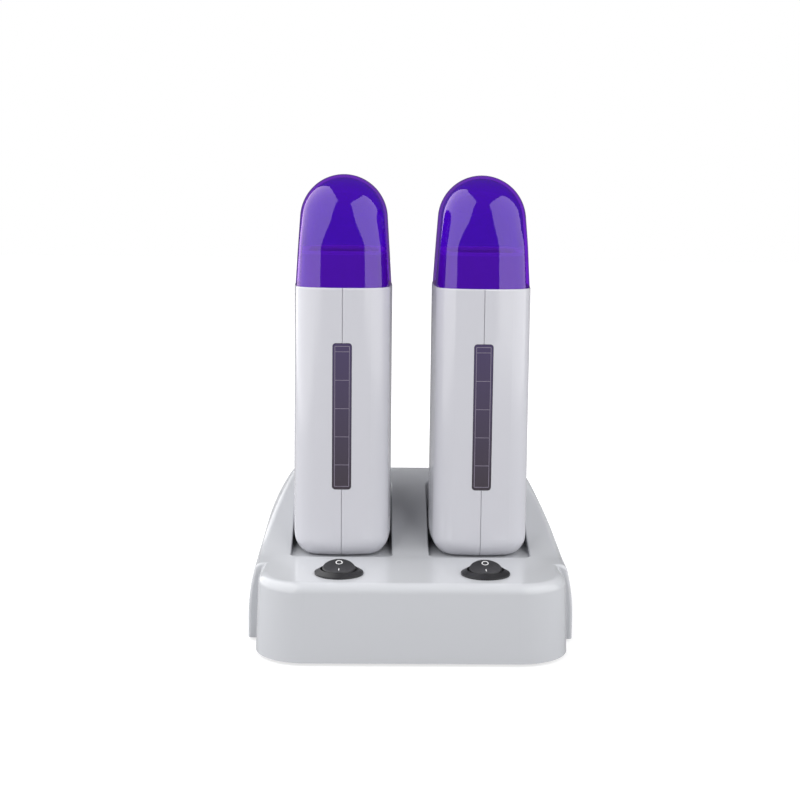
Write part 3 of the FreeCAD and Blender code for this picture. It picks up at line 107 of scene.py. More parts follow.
class CapLook(bpy.types.PropertyGroup):
    colour: colour_setting("Body", "Colour that the cap scatters", (0.064, 0.004, 0.27))
    tint: colour_setting("Tint", "Colour that one surface of the cap lets through", (0.52, 0.14, 1.0))
    clear: number_setting("Clear", "Share of light that goes straight through", 0.64, high=1)
    roughness: number_setting("Roughness", "Roughness of the glossy cap", 0.035, high=1)
    shade: colour_setting("Shade", "Colour that one surface leaves in the cap's shadow", (0.96, 0.90, 1.0))
    draft: number_setting("Draft", "Slope of the cap's sides, in radians", math.radians(3.7), high=0.5)
    dome: number_setting("Dome", "Radius of the cap's dome", 21.8 * MM, high=0.1)
    wall: number_setting("Wall", "Thickness of the cap's wall", 1.6 * MM, high=0.01)
    foot_round: radii_setting(
        "Foot", "Radii of the ends, sides and corners at the foot", (59.6, 179.6, 11.6))
    top_round: radii_setting(
        "Top", "Radii of the ends, sides and corners towards the top", (30.0, 90.0, 17.5))
    round_from: number_setting(
        "From", "Height above the foot where the section starts to get rounder", 18 * MM, high=0.1)
    round_to: number_setting("To", "Height above the foot where the section is roundest", 36 * MM, high=0.1)


class SwitchLook(bpy.types.PropertyGroup):
    colour: colour_setting("Plastic", "Colour of the switches", (0.014, 0.014, 0.016))
    roughness: number_setting("Roughness", "Roughness of the satin switches", 0.42, high=1)
    print_colour: colour_setting("Print", "Colour of the printed marks", (0.72, 0.72, 0.72))
    ring_radius: number_setting("Ring", "Middle radius of the printed ring", 1.45 * MM, high=0.1)
    print_line: number_setting("Line", "Width of the printed lines", 0.46 * MM, high=0.01)
    bar_length: number_setting("Bar", "Length of the printed bar", 2.6 * MM, high=0.1)
    mark_offset: number_setting(
        "Offset", "Distance of both marks from the rocker's axis", 3.6 * MM, high=0.1)
    print_skin: number_setting("Skin", "How far the print stands above the rocker", 0.03 * MM, high=0.01)


class StageLook(bpy.types.PropertyGroup):
    lens: number_setting("Lens", "Focal length on a 36 mm wide sensor", 69.64, low=1, high=300)
    place: bpy.props.FloatVectorProperty(
        name="Place", description="Place of the camera", size=3, default=(-0.0195, -0.7545, 0.2304))
    tilt: number_setting("Tilt", "How far the camera looks down, in radians", 0.1533, high=1.5)
    turn: number_setting(
        "Turn", "How far the camera looks to the right, in radians", 0.0182, low=-1, high=1)
    roll: number_setting("Roll", "How far the camera leans to the left, in radians", 0.0106, low=-1, high=1)
    box_light: number_setting("Softboxes", "Brightness of the softboxes beside the object", 2.1, high=50)
    fill: number_setting("Fill", "Brightness of the room", 0.25, high=5)
    mirrored: number_setting("Mirrored", "Brightness of the room and backdrop in reflections", 0.10, high=5)
    floor_lift: number_setting("Floor", "Brightness that the camera sees added to the floor", 0.72, high=5)


# Shader helpers

def link_nodes(tree, source, output, target, socket):
    tree.links.new(source.outputs[output], target.inputs[socket])


def moulding_group():
    """Node group for moulded plastic: a slightly uneven gloss and a very fine waviness."""
    name = "moulded_surface"
    if name in bpy.data.node_groups:
        return bpy.data.node_groups[name]
    group = bpy.data.node_groups.new(name, "ShaderNodeTree")
    for label, default in (("Roughness", 0.2), ("Spread", 0.03), ("Scale", 900.0), ("Depth", 0.02)):
        socket = group.interface.new_socket(name=label, in_out="INPUT", socket_type="NodeSocketFloat")
        socket.default_value = default
    group.interface.new_socket(name="Roughness", in_out="OUTPUT", socket_type="NodeSocketFloat")
    group.interface.new_socket(name="Normal", in_out="OUTPUT", socket_type="NodeSocketVector")
    nodes = group.nodes
    inputs = nodes.new("NodeGroupInput")
    outputs = nodes.new("NodeGroupOutput")
    place = nodes.new("ShaderNodeTexCoord")
    noise = nodes.new("ShaderNodeTexNoise")
    noise.inputs["Detail"].default_value = 2
    centred = nodes.new("ShaderNodeMath")
    centred.operation = "SUBTRACT"
    centred.inputs[1].default_value = 0.5
    rough = nodes.new("ShaderNodeMath")
    rough.operation = "MULTIPLY_ADD"
    bump = nodes.new("ShaderNodeBump")
    bump.inputs["Distance"].default_value = 0.02 * MM
    link_nodes(group, place, "Object", noise, "Vector")
    link_nodes(group, inputs, "Scale", noise, "Scale")
    link_nodes(group, noise, "Fac", centred, 0)
    link_nodes(group, centred, 0, rough, 0)
    link_nodes(group, inputs, "Spread", rough, 1)
    link_nodes(group, inputs, "Roughness", rough, 2)
    link_nodes(group, noise, "Fac", bump, "Height")
    link_nodes(group, inputs, "Depth", bump, "Strength")
    link_nodes(group, rough, 0, outputs, "Roughness")
    link_nodes(group, bump, "Normal", outputs, "Normal")
    return group


def plain_material(name, colour, roughness, metallic=0.0):
    """Material with one principled shader. Returns the material, its tree and the shader."""
    material = bpy.data.materials.new(name)
    material.use_nodes = True
    shader = material.node_tree.nodes["Principled BSDF"]
    shader.inputs["Base Color"].default_value = (*colour, 1)
    shader.inputs["Roughness"].default_value = roughness
    shader.inputs["Metallic"].default_value = metallic
    material.diffuse_color = (*colour, 1)
    return material, material.node_tree, shader


def moulded_material(name, colour, roughness, spread=0.03, scale=900.0, depth=0.02):
    """Plastic with the shared moulded surface."""
    material, tree, shader = plain_material(name, colour, roughness)
    surface = tree.nodes.new("ShaderNodeGroup")
    surface.node_tree = moulding_group()
    for label, size in (("Roughness", roughness), ("Spread", spread), ("Scale", scale), ("Depth", depth)):
        surface.inputs[label].default_value = size
    link_nodes(tree, surface, "Roughness", shader, "Roughness")
    link_nodes(tree, surface, "Normal", shader, "Normal")
    return material, tree, shader


def lens_material(look):
    """Smoked lens whose colour changes from its top to its bottom."""
    material, tree, shader = moulded_material("window_smoke", look.bottom, 0.12, spread=0.02)
    low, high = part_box("window_left")
    place = tree.nodes.new("ShaderNodeTexCoord")
    split = tree.nodes.new("ShaderNodeSeparateXYZ")
    height = tree.nodes.new("ShaderNodeMapRange")
    height.inputs["From Min"].default_value = low.z
    height.inputs["From Max"].default_value = high.z
    ramp = tree.nodes.new("ShaderNodeMix")
    ramp.data_type = "RGBA"
    ramp.inputs["A"].default_value = (*look.bottom, 1)
    ramp.inputs["B"].default_value = (*look.top, 1)
    link_nodes(tree, place, "Object", split, "Vector")
    link_nodes(tree, split, "Z", height, "Value")
    link_nodes(tree, height, "Result", ramp, "Factor")
    link_nodes(tree, ramp, "Result", shader, "Base Color")
    return material


def cap_material(look):
    """Translucent plastic: part of the light goes straight through with a tint, the rest scatters."""
    material, tree, shader = moulded_material(
        "cap_violet", look.colour, look.roughness, spread=0.01, depth=0.01)
    clear = tree.nodes.new("ShaderNodeBsdfTransparent")
    clear.inputs["Color"].default_value = (*look.tint, 1)
    gloss = tree.nodes.new("ShaderNodeBsdfGlossy")
    gloss.inputs["Color"].default_value = (1.0, 0.78, 1.0, 1)
    gloss.inputs["Roughness"].default_value = look.roughness
    edge = tree.nodes.new("ShaderNodeFresnel")
    edge.inputs["IOR"].default_value = 1.6
    facing = tree.nodes.new("ShaderNodeNewGeometry")
    shine = tree.nodes.new("ShaderNodeMix")
    shine.inputs["B"].default_value = 0
    inside = tree.nodes.new("ShaderNodeMixShader")
    inside.inputs["Fac"].default_value = look.clear
    whole = tree.nodes.new("ShaderNodeMixShader")
    out = tree.nodes["Material Output"]
    shader.inputs["Specular IOR Level"].default_value = 0
    tree.links.new(shader.outputs["BSDF"], inside.inputs[1])
    tree.links.new(clear.outputs["BSDF"], inside.inputs[2])
    # light that leaves the wall's material isn't mirrored, so each wall shines once
    link_nodes(tree, facing, "Backfacing", shine, "Factor")
    link_nodes(tree, edge, "Fac", shine, "A")
    link_nodes(tree, shine, "Result", whole, "Fac")
    tree.links.new(inside.outputs["Shader"], whole.inputs[1])
    tree.links.new(gloss.outputs["BSDF"], whole.inputs[2])
    # the cap's shadow is light, so that the neck inside it shows
    rays = tree.nodes.new("ShaderNodeLightPath")
    shade = tree.nodes.new("ShaderNodeBsdfTransparent")
    shade.inputs["Color"].default_value = (*look.shade, 1)
    shaded = tree.nodes.new("ShaderNodeMixShader")
    link_nodes(tree, rays, "Is Shadow Ray", shaded, "Fac")
    tree.links.new(whole.outputs["Shader"], shaded.inputs[1])
    tree.links.new(shade.outputs["BSDF"], shaded.inputs[2])
    tree.links.new(shaded.outputs["Shader"], out.inputs["Surface"])
    return material


def dress(material, *names):
    """Give CAD nodes a material."""
    for name in names:
        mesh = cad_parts[name].data
        mesh.materials.clear()
        mesh.materials.append(material)


def both(*stems):
    return [f"{stem}_{side}" for stem in stems for side in SIDES]


# Level marks on the lenses

def marks_tree(material):
    """Geometry nodes for one lens: curved level marks, two curved ends and two straight borders."""
    tree = bpy.data.node_groups.new("level_marks", "GeometryNodeTree")
    for label, kind in (
        ("Count", "NodeSocketInt"), ("Spacing", "NodeSocketFloat"), ("First", "NodeSocketFloat"),
        ("Top", "NodeSocketFloat"), ("Bottom", "NodeSocketFloat"), ("Half Width", "NodeSocketFloat"),
        ("Line", "NodeSocketFloat"), ("Depth", "NodeSocketFloat"), ("Radius", "NodeSocketFloat"),
        ("Middle", "NodeSocketVector"),
    ):
        tree.interface.new_socket(name=label, in_out="INPUT", socket_type=kind)
    tree.interface.new_socket(name="Geometry", in_out="OUTPUT", socket_type="NodeSocketGeometry")
    nodes = tree.nodes
    given = nodes.new("NodeGroupInput")
    result = nodes.new("NodeGroupOutput")

    def math_node(operation, first, second):
        node = nodes.new("ShaderNodeMath")
        node.operation = operation
        for index, item in enumerate((first, second)):
            if isinstance(item, (int, float)):
                node.inputs[index].default_value = item
            else:
                tree.links.new(item, node.inputs[index])
        return node.outputs[0]

    def vector(x=0, y=0, z=0):
        node = nodes.new("ShaderNodeCombineXYZ")
        for index, item in enumerate((x, y, z)):
            if isinstance(item, (int, float)):
                node.inputs[index].default_value = item
            else:
                tree.links.new(item, node.inputs[index])
        return node.outputs[0]

    socket = given.outputs
    half_angle = math_node("ARCSINE", math_node("DIVIDE", socket["Half Width"], socket["Radius"]), 0)
    front = -math.pi / 2
    arc = nodes.new("GeometryNodeCurveArc")
    arc.inputs["Resolution"].default_value = 9
    tree.links.new(socket["Radius"], arc.inputs["Radius"])
    tree.links.new(math_node("SUBTRACT", front, half_angle), arc.inputs["Start Angle"])
    tree.links.new(math_node("MULTIPLY", half_angle, 2), arc.inputs["Sweep Angle"])
    profile = nodes.new("GeometryNodeCurvePrimitiveQuadrilateral")
    tree.links.new(math_node("MULTIPLY", socket["Depth"], 2), profile.inputs["Width"])
    tree.links.new(socket["Line"], profile.inputs["Height"])
    sweep = nodes.new("GeometryNodeCurveToMesh")
    sweep.inputs["Fill Caps"].default_value = True
    tree.links.new(arc.outputs["Curve"], sweep.inputs["Curve"])
    tree.links.new(profile.outputs["Curve"], sweep.inputs["Profile Curve"])

    def rows(count, start, step):
        """Curved marks at equal steps down the lens."""
        line = nodes.new("GeometryNodeMeshLine")
        if isinstance(count, int):
            line.inputs["Count"].default_value = count
        else:
            tree.links.new(count, line.inputs["Count"])
        tree.links.new(vector(z=start), line.inputs["Start Location"])
        tree.links.new(vector(z=math_node("MULTIPLY", step, -1)), line.inputs["Offset"])
        placed = nodes.new("GeometryNodeInstanceOnPoints")
        tree.links.new(line.outputs["Mesh"], placed.inputs["Points"])
        tree.links.new(sweep.outputs["Mesh"], placed.inputs["Instance"])
        return placed.outputs["Instances"]

    # the borders stand where the curved marks end
    forward = math_node("MULTIPLY", socket["Radius"], -1)
    border_y = math_node("MULTIPLY", math_node("COSINE", half_angle, 0), forward)
    length = math_node("SUBTRACT", socket["Top"], socket["Bottom"])
    middle_z = math_node("MULTIPLY", math_node("ADD", socket["Top"], socket["Bottom"]), 0.5)
    sides = nodes.new("GeometryNodeMeshLine")
    sides.inputs["Count"].default_value = 2
    tree.links.new(vector(math_node("MULTIPLY", socket["Half Width"], -1), border_y, middle_z),
                   sides.inputs["Start Location"])
    tree.links.new(vector(math_node("MULTIPLY", socket["Half Width"], 2)), sides.inputs["Offset"])
    bar = nodes.new("GeometryNodeMeshCube")
    thickness = math_node("MULTIPLY", socket["Depth"], 2)
    tree.links.new(vector(socket["Line"], thickness, length), bar.inputs["Size"])
    bars = nodes.new("GeometryNodeInstanceOnPoints")
    tree.links.new(sides.outputs["Mesh"], bars.inputs["Points"])
    tree.links.new(bar.outputs["Mesh"], bars.inputs["Instance"])
    everything = nodes.new("GeometryNodeJoinGeometry")
    for part in (
        rows(socket["Count"], socket["First"], socket["Spacing"]),
        rows(2, socket["Top"], length),
        bars.outputs["Instances"],
    ):
        tree.links.new(part, everything.inputs["Geometry"])
    moved = nodes.new("GeometryNodeTransform")
    tree.links.new(everything.outputs["Geometry"], moved.inputs["Geometry"])
    tree.links.new(socket["Middle"], moved.inputs["Translation"])
    real = nodes.new("GeometryNodeRealizeInstances")
    tree.links.new(moved.outputs["Geometry"], real.inputs["Geometry"])
    painted = nodes.new("GeometryNodeSetMaterial")
    painted.inputs["Material"].default_value = material
    tree.links.new(real.outputs["Geometry"], painted.inputs["Geometry"])
    tree.links.new(painted.outputs["Geometry"], result.inputs["Geometry"])
    return tree


def grow_mesh(name, tree, settings):
    """Object made by a geometry node tree, turned into a plain mesh."""
    holder = bpy.data.objects.new(name, bpy.data.meshes.new(name + "_seed"))
    bpy.context.scene.collection.objects.link(holder)
    modifier = holder.modifiers.new("grow", "NODES")
    modifier.node_group = tree
    for item in tree.interface.items_tree:
        if item.in_out == "INPUT":
            modifier[item.identifier] = settings[item.name]
    bpy.context.view_layer.update()
    depsgraph = bpy.context.evaluated_depsgraph_get()
    mesh = bpy.data.meshes.new_from_object(holder.evaluated_get(depsgraph))
    mesh.name = name
    holder.modifiers.clear()
    holder.data = mesh
    if not mesh.polygons:
        raise RuntimeError(f"{name} came out empty")
    return holder


def lens_front(side):
    """Middle of a lens's front, and the heights of its two ends."""
    low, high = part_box(f"window_{side}")
    surface = BVHTree.FromObject(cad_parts[f"window_{side}"], bpy.context.evaluated_depsgraph_get())
    x, ahead, inward = (low.x + high.x) / 2, low.y - 0.05, Vector((0, 1, 0))
    beside_seam, rim_step, steps = 2 * MM, 0.3 * MM, 400
    hits = []
    for step in range(1, steps):
        z = low.z + (high.z - low.z) * step / steps
        hit = surface.ray_cast(Vector((x + beside_seam, ahead, z)), inward)[0]
        hits.append((hit.y, z))
    nearest = min(y for y, z in hits)
    levels = [z for y, z in hits if y < nearest + rim_step]
    middle = surface.ray_cast(Vector((x, ahead, (low.z + high.z) / 2)), inward)[0]
    return middle, min(levels), max(levels)


# Printed marks on the rockers

def print_on(surface, points, skin):
    """Closed sheet of a printed mark laid on a surface. Points come in pairs across the line."""
    mesh = bmesh.new()
    layers = []
    for lift in (skin, -skin):
        layer = []
        for x, y, z in points:
            hit, normal = surface.ray_cast(Vector((x, y, z)), Vector((0, 0, -1)))[:2]
            if hit is None:
                raise RuntimeError("a printed mark misses its rocker")
            layer.append(mesh.verts.new(hit + normal * lift))
        layers.append(layer)
    top, under = layers
    return mesh, top, under


def ring_mark(surface, centre, look):
    """Printed ring."""
    count = 40
    points = []
    for step in range(count):
        angle = 2 * math.pi * step / count
        for radius in (look.ring_radius - look.print_line / 2, look.ring_radius + look.print_line / 2):
            offset = Vector((math.cos(angle), math.sin(angle), 0)) * radius
            points.append(centre + offset)
    mesh, top, under = print_on(surface, points, look.print_skin)
    for step in range(count):
        a, b = 2 * step, 2 * ((step + 1) % count)
        mesh.faces.new((top[a], top[a + 1], top[b + 1], top[b]))
        mesh.faces.new((under[a], under[b], under[b + 1], under[a + 1]))
        mesh.faces.new((top[a + 1], under[a + 1], under[b + 1], top[b + 1]))
        mesh.faces.new((top[b], under[b], under[a], top[a]))
    return mesh


def bar_mark(surface, centre, look):
    """Printed bar along the rocker's own front to back line."""
    half_line, half_length = look.print_line / 2, look.bar_length / 2
    points = [
        centre + Vector((x, y, 0))
        for y in (-half_length, half_length) for x in (-half_line, half_line)
    ]
    mesh, top, under = print_on(surface, points, look.print_skin)
    loop = (0, 1, 3, 2)
    mesh.faces.new([top[i] for i in loop])
    mesh.faces.new([under[i] for i in reversed(loop)])
    for first, second in zip(loop, loop[1:] + loop[:1]):
        mesh.faces.new((top[first], under[first], under[second], top[second]))
    return mesh


def add_piece(name, mesh, material):
    """Link a finished mesh to the scene."""
    bmesh.ops.recalc_face_normals(mesh, faces=mesh.faces)
    data = bpy.data.meshes.new(name)
    mesh.to_mesh(data)
    mesh.free()
    data.materials.append(material)
    item = bpy.data.objects.new(name, data)
    bpy.context.scene.collection.objects.link(item)
    return item


# Cap form

def bulged_section(half_width, half_depth, radii, steps=10):
    """Closed section with four bulged faces and round corners, as points round the middle."""
    end, side, corner = radii
    end_middle = Vector((0, half_depth - end))
    side_middle = Vector((half_width - side, 0))
    # the corner's circle touches the end's and the side's circle from inside
    between = side_middle - end_middle
    end_reach, side_reach = end - corner, side - corner
    along = (end_reach ** 2 - side_reach ** 2 + between.length_squared) / (2 * between.length)
    away = math.sqrt(end_reach ** 2 - along ** 2)
    line = between.normalized()
    feet = end_middle + line * along
    across = Vector((-line.y, line.x)) * away
    middle = max(feet + across, feet - across, key=lambda point: point.x + point.y)
    turns = [0]
    turns += [math.atan2(point.y, point.x) for point in (middle - side_middle, middle - end_middle)]
    turns += [math.pi / 2]
    quarter = []
    centres = (side_middle, middle, end_middle)
    for start, stop, centre, radius in zip(turns, turns[1:], centres, (side, corner, end)):
        for step in range(steps):
            turn = start + (stop - start) * step / steps
            quarter.append(centre + radius * Vector((math.cos(turn), math.sin(turn))))
    last = Vector((0, half_depth))
    half = quarter + [last] + [Vector((-point.x, point.y)) for point in reversed(quarter)]
    return half + [Vector((point.x, -point.y)) for point in reversed(half[1:-1])]


def cap_rings(look, half_width, half_depth, height, wall):
    """Rings of one skin of the cap, from its foot to the flat at its top."""
    radius = look.dome - wall
    dome_middle = height - look.dome
    shoulder = dome_middle + radius * math.sin(look.draft)
    steps = 24
    straight = [(shoulder * step / steps, 1.0) for step in range(steps)]
    last_turn = math.radians(88)
    turns = [look.draft + (last_turn - look.draft) * step / steps for step in range(steps + 1)]
    dome = [
        (dome_middle + radius * math.sin(turn), math.cos(turn) / math.cos(look.draft))
        for turn in turns
    ]
    rings = []
    for level, scale in straight + dome:
        inset = wall + min(level, shoulder) * math.tan(look.draft)
        share = min(max((level - look.round_from) / (look.round_to - look.round_from), 0), 1)
        share = share * share * (3 - 2 * share)
        radii = [
            foot + (top - foot) * share - inset
            for foot, top in zip(look.foot_round, look.top_round)
        ]
        section = bulged_section(half_width - inset, half_depth - inset, radii)
        rings.append([Vector((*(point * scale), level)) for point in section])
    return rings


def stitch(mesh, first, second):
    """Faces between two rings with as many points."""
    count = len(first)
    for step in range(count):
        after = (step + 1) % count
        mesh.faces.new((first[step], first[after], second[after], second[step]))


def cap_mesh(look, low, high):
    """Closed cap of two skins joined at the foot, between the corners of its box."""
    mesh = bmesh.new()
    foot = Vector(((low.x + high.x) / 2, (low.y + high.y) / 2, low.z))
    half_width, half_depth = (high.x - low.x) / 2, (high.y - low.y) / 2
    feet = []
    for wall in (0, look.wall):
        rings = cap_rings(look, half_width, half_depth, high.z - low.z, wall)
        skin = [[mesh.verts.new(foot + point) for point in ring] for ring in rings]
        for lower, upper in zip(skin, skin[1:]):
            stitch(mesh, lower, upper)
        mesh.faces.new(skin[-1])
        feet.append(skin[0])
    stitch(mesh, *feet)
    for face in mesh.faces:
        face.smooth = True
    return mesh


# Operators

class WAX_OT_base(bpy.types.Operator):
    """Finish the docking base, its feet, screws, inlet, connectors and leads"""
    bl_idname = "wax_heater.base"
    bl_label = "Dress Base"

    def execute(self, context):
        look = context.scene.wax_base
        dress(moulded_material("base_grey", look.colour, look.roughness)[0], "base_housing")
        dress(moulded_material("plate_grey", look.plate, 0.5, spread=0.1, scale=2500, depth=0.2)[0],
              "base_plate")
        dress(plain_material("foot_rubber", (0.02, 0.02, 0.021), 0.75)[0], "base_feet")
        dress(plain_material("steel", (0.55, 0.55, 0.56), 0.3, 1)[0],
              "base_screws", *both("shell_screws", "heater_clip"))
        dress(plain_material("connector_black", (0.02, 0.02, 0.022), 0.4)[0],
              "mains_inlet", *both("dock_plug", "unit_inlet"))
        dress(plain_material("brass", (0.72, 0.53, 0.24), 0.25, 1)[0],
              "mains_pins", *both("dock_contacts", "unit_pins", "switch_terminals"))
        dress(plain_material("lead_brown", (0.12, 0.045, 0.02), 0.5)[0],
              "lead_live", "lead_live_link", *both("lead_switched", "lead_heater"))
        dress(plain_material("lead_blue", (0.03, 0.08, 0.32), 0.5)[0],
              "lead_neutral", "lead_neutral_link", *both("lead_cutout", "lead_link"))
        return {"FINISHED"}


class WAX_OT_units(bpy.types.Operator):
    """Finish the hand units' shells, sleeves, rings and heaters"""
    bl_idname = "wax_heater.units"
    bl_label = "Dress Hand Units"

    def execute(self, context):
        look = context.scene.wax_unit
        dress(moulded_material("shell_white", look.colour, look.roughness)[0],
              *both("shell_frame", "shell_cover"))
        dress(moulded_material("ring_white", (0.70, 0.70, 0.73), 0.4)[0], *both("mouth_ring"))
        dress(plain_material("sleeve_aluminium", (0.75, 0.75, 0.76), 0.35, 1)[0], *both("chamber"))
        dress(plain_material("heater_film", (0.35, 0.14, 0.03), 0.35)[0], *both("heater", "thermal_cutout"))
        return {"FINISHED"}


class WAX_OT_windows(bpy.types.Operator):
    """Finish the level windows and lay their marks on the lenses"""
    bl_idname = "wax_heater.windows"
    bl_label = "Dress Windows"

    def execute(self, context):
        look = context.scene.wax_window
        dress(lens_material(look), *both("window"))
        tree = marks_tree(plain_material("level_mark", look.mark, 0.4)[0])
        for side in SIDES:
            middle, bottom, top = lens_front(side)
            marks = grow_mesh(f"level_marks_{side}", tree, {
                "Count": look.mark_count,
                "Spacing": look.mark_spacing,
                "First": top - look.first_mark,
                "Top": top - look.border,
                "Bottom": bottom + look.border,
                "Half Width": look.mark_half_width,
                "Line": look.mark_line,
                "Depth": look.mark_depth,
                "Radius": look.lens_radius,
                "Middle": (middle.x, middle.y + look.lens_radius, 0),
            })
            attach(marks, f"{side}_unit")
        return {"FINISHED"}


class WAX_OT_caps(bpy.types.Operator):
    """Make the translucent caps, whose section gets rounder towards the top"""
    bl_idname = "wax_heater.caps"
    bl_label = "Dress Caps"

    def execute(self, context):
        look = context.scene.wax_cap
        material = cap_material(look)
        for side in SIDES:
            node = f"cap_{side}"
            cap = add_piece(f"{node}_form", cap_mesh(look, *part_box(node)), material)
            cap.data.set_sharp_from_angle(angle=math.radians(40))
            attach(cap, f"{side}_cap")
            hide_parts(node)
        return {"FINISHED"}


class WAX_OT_switches(bpy.types.Operator):
    """Finish the switches and print the on and off marks on the rockers"""
    bl_idname = "wax_heater.switches"
    bl_label = "Dress Switches"

    def execute(self, context):
        look = context.scene.wax_switch
        black = moulded_material(
            "switch_black", look.colour, look.roughness, spread=0.15, scale=3500, depth=0.25)
        dress(black[0], *both("switch_body", "rocker"))
        ink = plain_material("switch_print", look.print_colour, 0.5)[0]
        for side in SIDES:
            low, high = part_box(f"switch_body_{side}")
            axis = Vector(((low.x + high.x) / 2, (low.y + high.y) / 2, high.z + 0.05))
            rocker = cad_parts[f"rocker_{side}"]
            surface = BVHTree.FromObject(rocker, context.evaluated_depsgraph_get())
            behind = axis + Vector((0, look.mark_offset, 0))
            ahead = axis - Vector((0, look.mark_offset, 0))
            for name, mesh in (
                (f"off_mark_{side}", ring_mark(surface, behind, look)),
                (f"on_mark_{side}", bar_mark(surface, ahead, look)),
            ):
                mark = add_piece(name, mesh, ink)
                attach(mark, f"{side}_rocker")
        return {"FINISHED"}


# Name of each softbox, where it starts and ends on the floor, and its height
SOFTBOXES = (
    ("softbox_left", (-0.52, -1.15), (-0.80, 1.39), 3.0),
    ("softbox_right", (0.42, -1.20), (0.95, 0.25), 2.2),
)


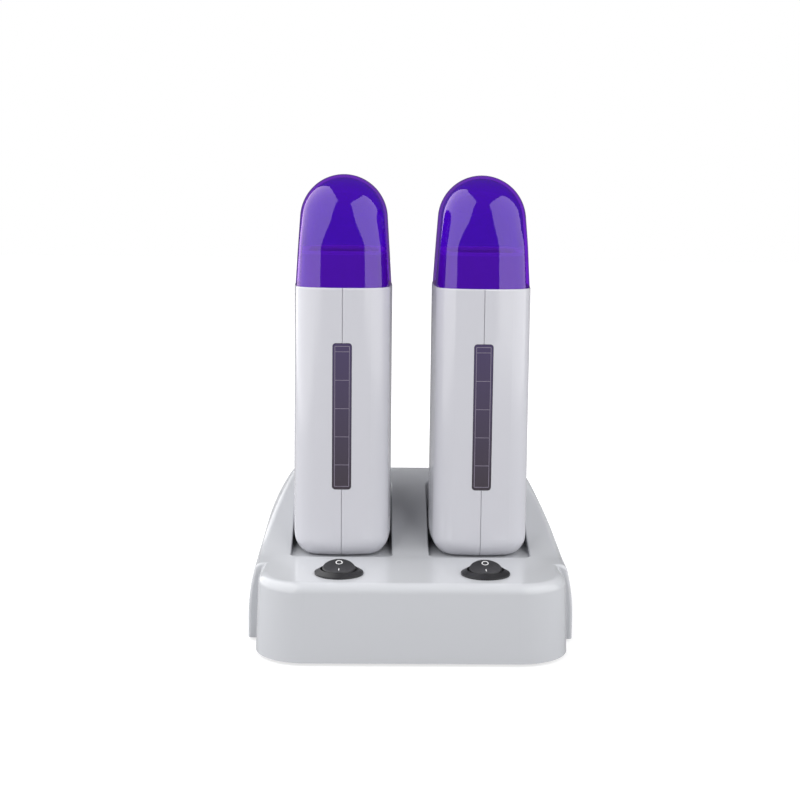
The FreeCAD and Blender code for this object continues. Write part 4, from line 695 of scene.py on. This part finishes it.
class WAX_OT_stage(bpy.types.Operator):
    """Set up the floor, backdrop, softboxes and camera"""
    bl_idname = "wax_heater.stage"
    bl_label = "Set Stage"

    def execute(self, context):
        look = context.scene.wax_stage
        self.floor(look)
        self.backdrop(look)
        self.room(context.scene, look)
        for name, first, last, height in SOFTBOXES:
            self.softbox(name, first, last, height, look.box_light)
        self.camera(context.scene, look)
        return {"FINISHED"}

    def sheet(self, name, corners, material):
        mesh = bpy.data.meshes.new(name)
        mesh.from_pydata(corners, [], [(0, 1, 2, 3)])
        mesh.materials.append(material)
        item = bpy.data.objects.new(name, mesh)
        bpy.context.scene.collection.objects.link(item)

    def floor(self, look):
        """White floor. The camera sees it lifted to white, with the shadow kept."""
        material, tree, shader = plain_material("floor_white", (0.36, 0.36, 0.37), 0.9)
        shader.inputs["Specular IOR Level"].default_value = 0
        rays = tree.nodes.new("ShaderNodeLightPath")
        place = tree.nodes.new("ShaderNodeTexCoord")
        distance = tree.nodes.new("ShaderNodeVectorMath")
        distance.operation = "LENGTH"
        grow = tree.nodes.new("ShaderNodeMapRange")
        beside_object, all_white = 0.15, 0.60
        grow.inputs["From Min"].default_value = beside_object
        grow.inputs["From Max"].default_value = all_white
        grow.inputs["To Min"].default_value = look.floor_lift
        grow.inputs["To Max"].default_value = 1.0
        lift = tree.nodes.new("ShaderNodeMath")
        lift.operation = "MULTIPLY"
        shader.inputs["Emission Color"].default_value = (1, 1, 1, 1)
        link_nodes(tree, place, "Object", distance, 0)
        link_nodes(tree, distance, "Value", grow, "Value")
        link_nodes(tree, rays, "Is Camera Ray", lift, 0)
        link_nodes(tree, grow, "Result", lift, 1)
        link_nodes(tree, lift, 0, shader, "Emission Strength")
        reach = 3.0
        corners = [(-reach, -reach, 0), (reach, -reach, 0), (reach, reach, 0), (-reach, reach, 0)]
        self.sheet("floor", corners, material)

    def backdrop(self, look):
        """White backdrop that lights little but shows in the camera and in reflections."""
        material = bpy.data.materials.new("backdrop_white")
        material.use_nodes = True
        tree = material.node_tree
        tree.nodes.clear()
        glow = tree.nodes.new("ShaderNodeEmission")
        out = tree.nodes.new("ShaderNodeOutputMaterial")
        link_nodes(tree, *self.room_level(tree, look), glow, "Strength")
        link_nodes(tree, glow, "Emission", out, "Surface")
        far, half, top = 2.9, 2.9, 2.5
        corners = [(-half, far, 0), (half, far, 0), (half, far, top), (-half, far, top)]
        self.sheet("backdrop", corners, material)

    def room(self, scene, look):
        """Dim room that the camera sees as white."""
        world = bpy.data.worlds.new("room")
        world.use_nodes = True
        shade = world.node_tree.nodes["Background"]
        shade.inputs["Color"].default_value = (1, 1, 1, 1)
        link_nodes(world.node_tree, *self.room_level(world.node_tree, look), shade, "Strength")
        scene.world = world

    def room_level(self, tree, look):
        """White for the camera, dark in reflections, dim for all other light."""
        rays = tree.nodes.new("ShaderNodeLightPath")
        strength = tree.nodes.new("ShaderNodeMapRange")
        strength.inputs["To Min"].default_value = look.fill
        strength.inputs["To Max"].default_value = look.mirrored
        level = tree.nodes.new("ShaderNodeMath")
        level.operation = "MAXIMUM"
        link_nodes(tree, rays, "Is Glossy Ray", strength, "Value")
        link_nodes(tree, rays, "Is Camera Ray", level, 0)
        link_nodes(tree, strength, "Result", level, 1)
        return level, 0

    def softbox(self, name, first, last, height, brightness):
        """Upright light on the floor between two places, facing the object. Brightness is its radiance."""
        first, last = Vector((*first, 0)), Vector((*last, 0))
        run = last - first
        light = bpy.data.lights.new(name, "AREA")
        light.shape = "RECTANGLE"
        light.size, light.size_y = run.length, height
        light.energy = brightness * math.pi * run.length * height
        item = bpy.data.objects.new(name, light)
        item.location = (first + last) / 2 + Vector((0, 0, height / 2))
        across = run.cross(Vector((0, 0, 1)))
        inward = across if across.dot(first + last) < 0 else -across
        item.rotation_euler = inward.to_track_quat("-Z", "Y").to_euler()
        bpy.context.scene.collection.objects.link(item)

    def camera(self, scene, look):
        camera = bpy.data.cameras.new("camera")
        camera.lens = look.lens
        camera.sensor_width = 36
        camera.sensor_fit = "HORIZONTAL"
        camera.clip_start = 0.01
        item = bpy.data.objects.new("camera", camera)
        item.matrix_world = (
            Matrix.Translation(look.place)
            @ Matrix.Rotation(-look.turn, 4, "Z")
            @ Matrix.Rotation(math.pi / 2 - look.tilt, 4, "X")
            @ Matrix.Rotation(look.roll, 4, "Z"))
        scene.collection.objects.link(item)
        scene.camera = item
        scene.render.engine = "CYCLES"
        scene.render.resolution_x = 800
        scene.render.resolution_y = 800
        scene.cycles.samples = 192
        scene.cycles.use_denoising = True
        scene.view_settings.view_transform = "Standard"


class WAX_PT_looks(bpy.types.Panel):
    """Settings and operators of the wax heater's looks"""
    bl_idname = "WAX_PT_looks"
    bl_label = "Wax Heater"
    bl_space_type = "VIEW_3D"
    bl_region_type = "UI"
    bl_category = "Wax Heater"

    def draw(self, context):
        for setting, look, operator in SECTIONS:
            box = self.layout.box()
            group = getattr(context.scene, setting)
            for name in look.__annotations__:
                box.prop(group, name)
            box.operator(operator.bl_idname)


SECTIONS = (
    ("wax_base", BaseLook, WAX_OT_base),
    ("wax_unit", UnitLook, WAX_OT_units),
    ("wax_window", WindowLook, WAX_OT_windows),
    ("wax_cap", CapLook, WAX_OT_caps),
    ("wax_switch", SwitchLook, WAX_OT_switches),
    ("wax_stage", StageLook, WAX_OT_stage),
)


def register():
    for setting, look, operator in SECTIONS:
        bpy.utils.register_class(look)
        bpy.utils.register_class(operator)
        setattr(bpy.types.Scene, setting, bpy.props.PointerProperty(type=look))
    bpy.utils.register_class(WAX_PT_looks)


def unregister():
    bpy.utils.unregister_class(WAX_PT_looks)
    for setting, look, operator in reversed(SECTIONS):
        delattr(bpy.types.Scene, setting)
        bpy.utils.unregister_class(operator)
        bpy.utils.unregister_class(look)


def main():
    register()
    bpy.ops.wax_heater.base()
    bpy.ops.wax_heater.units()
    bpy.ops.wax_heater.windows()
    bpy.ops.wax_heater.caps()
    bpy.ops.wax_heater.switches()
    bpy.ops.wax_heater.stage()


if __name__ == "__main__":
    main()
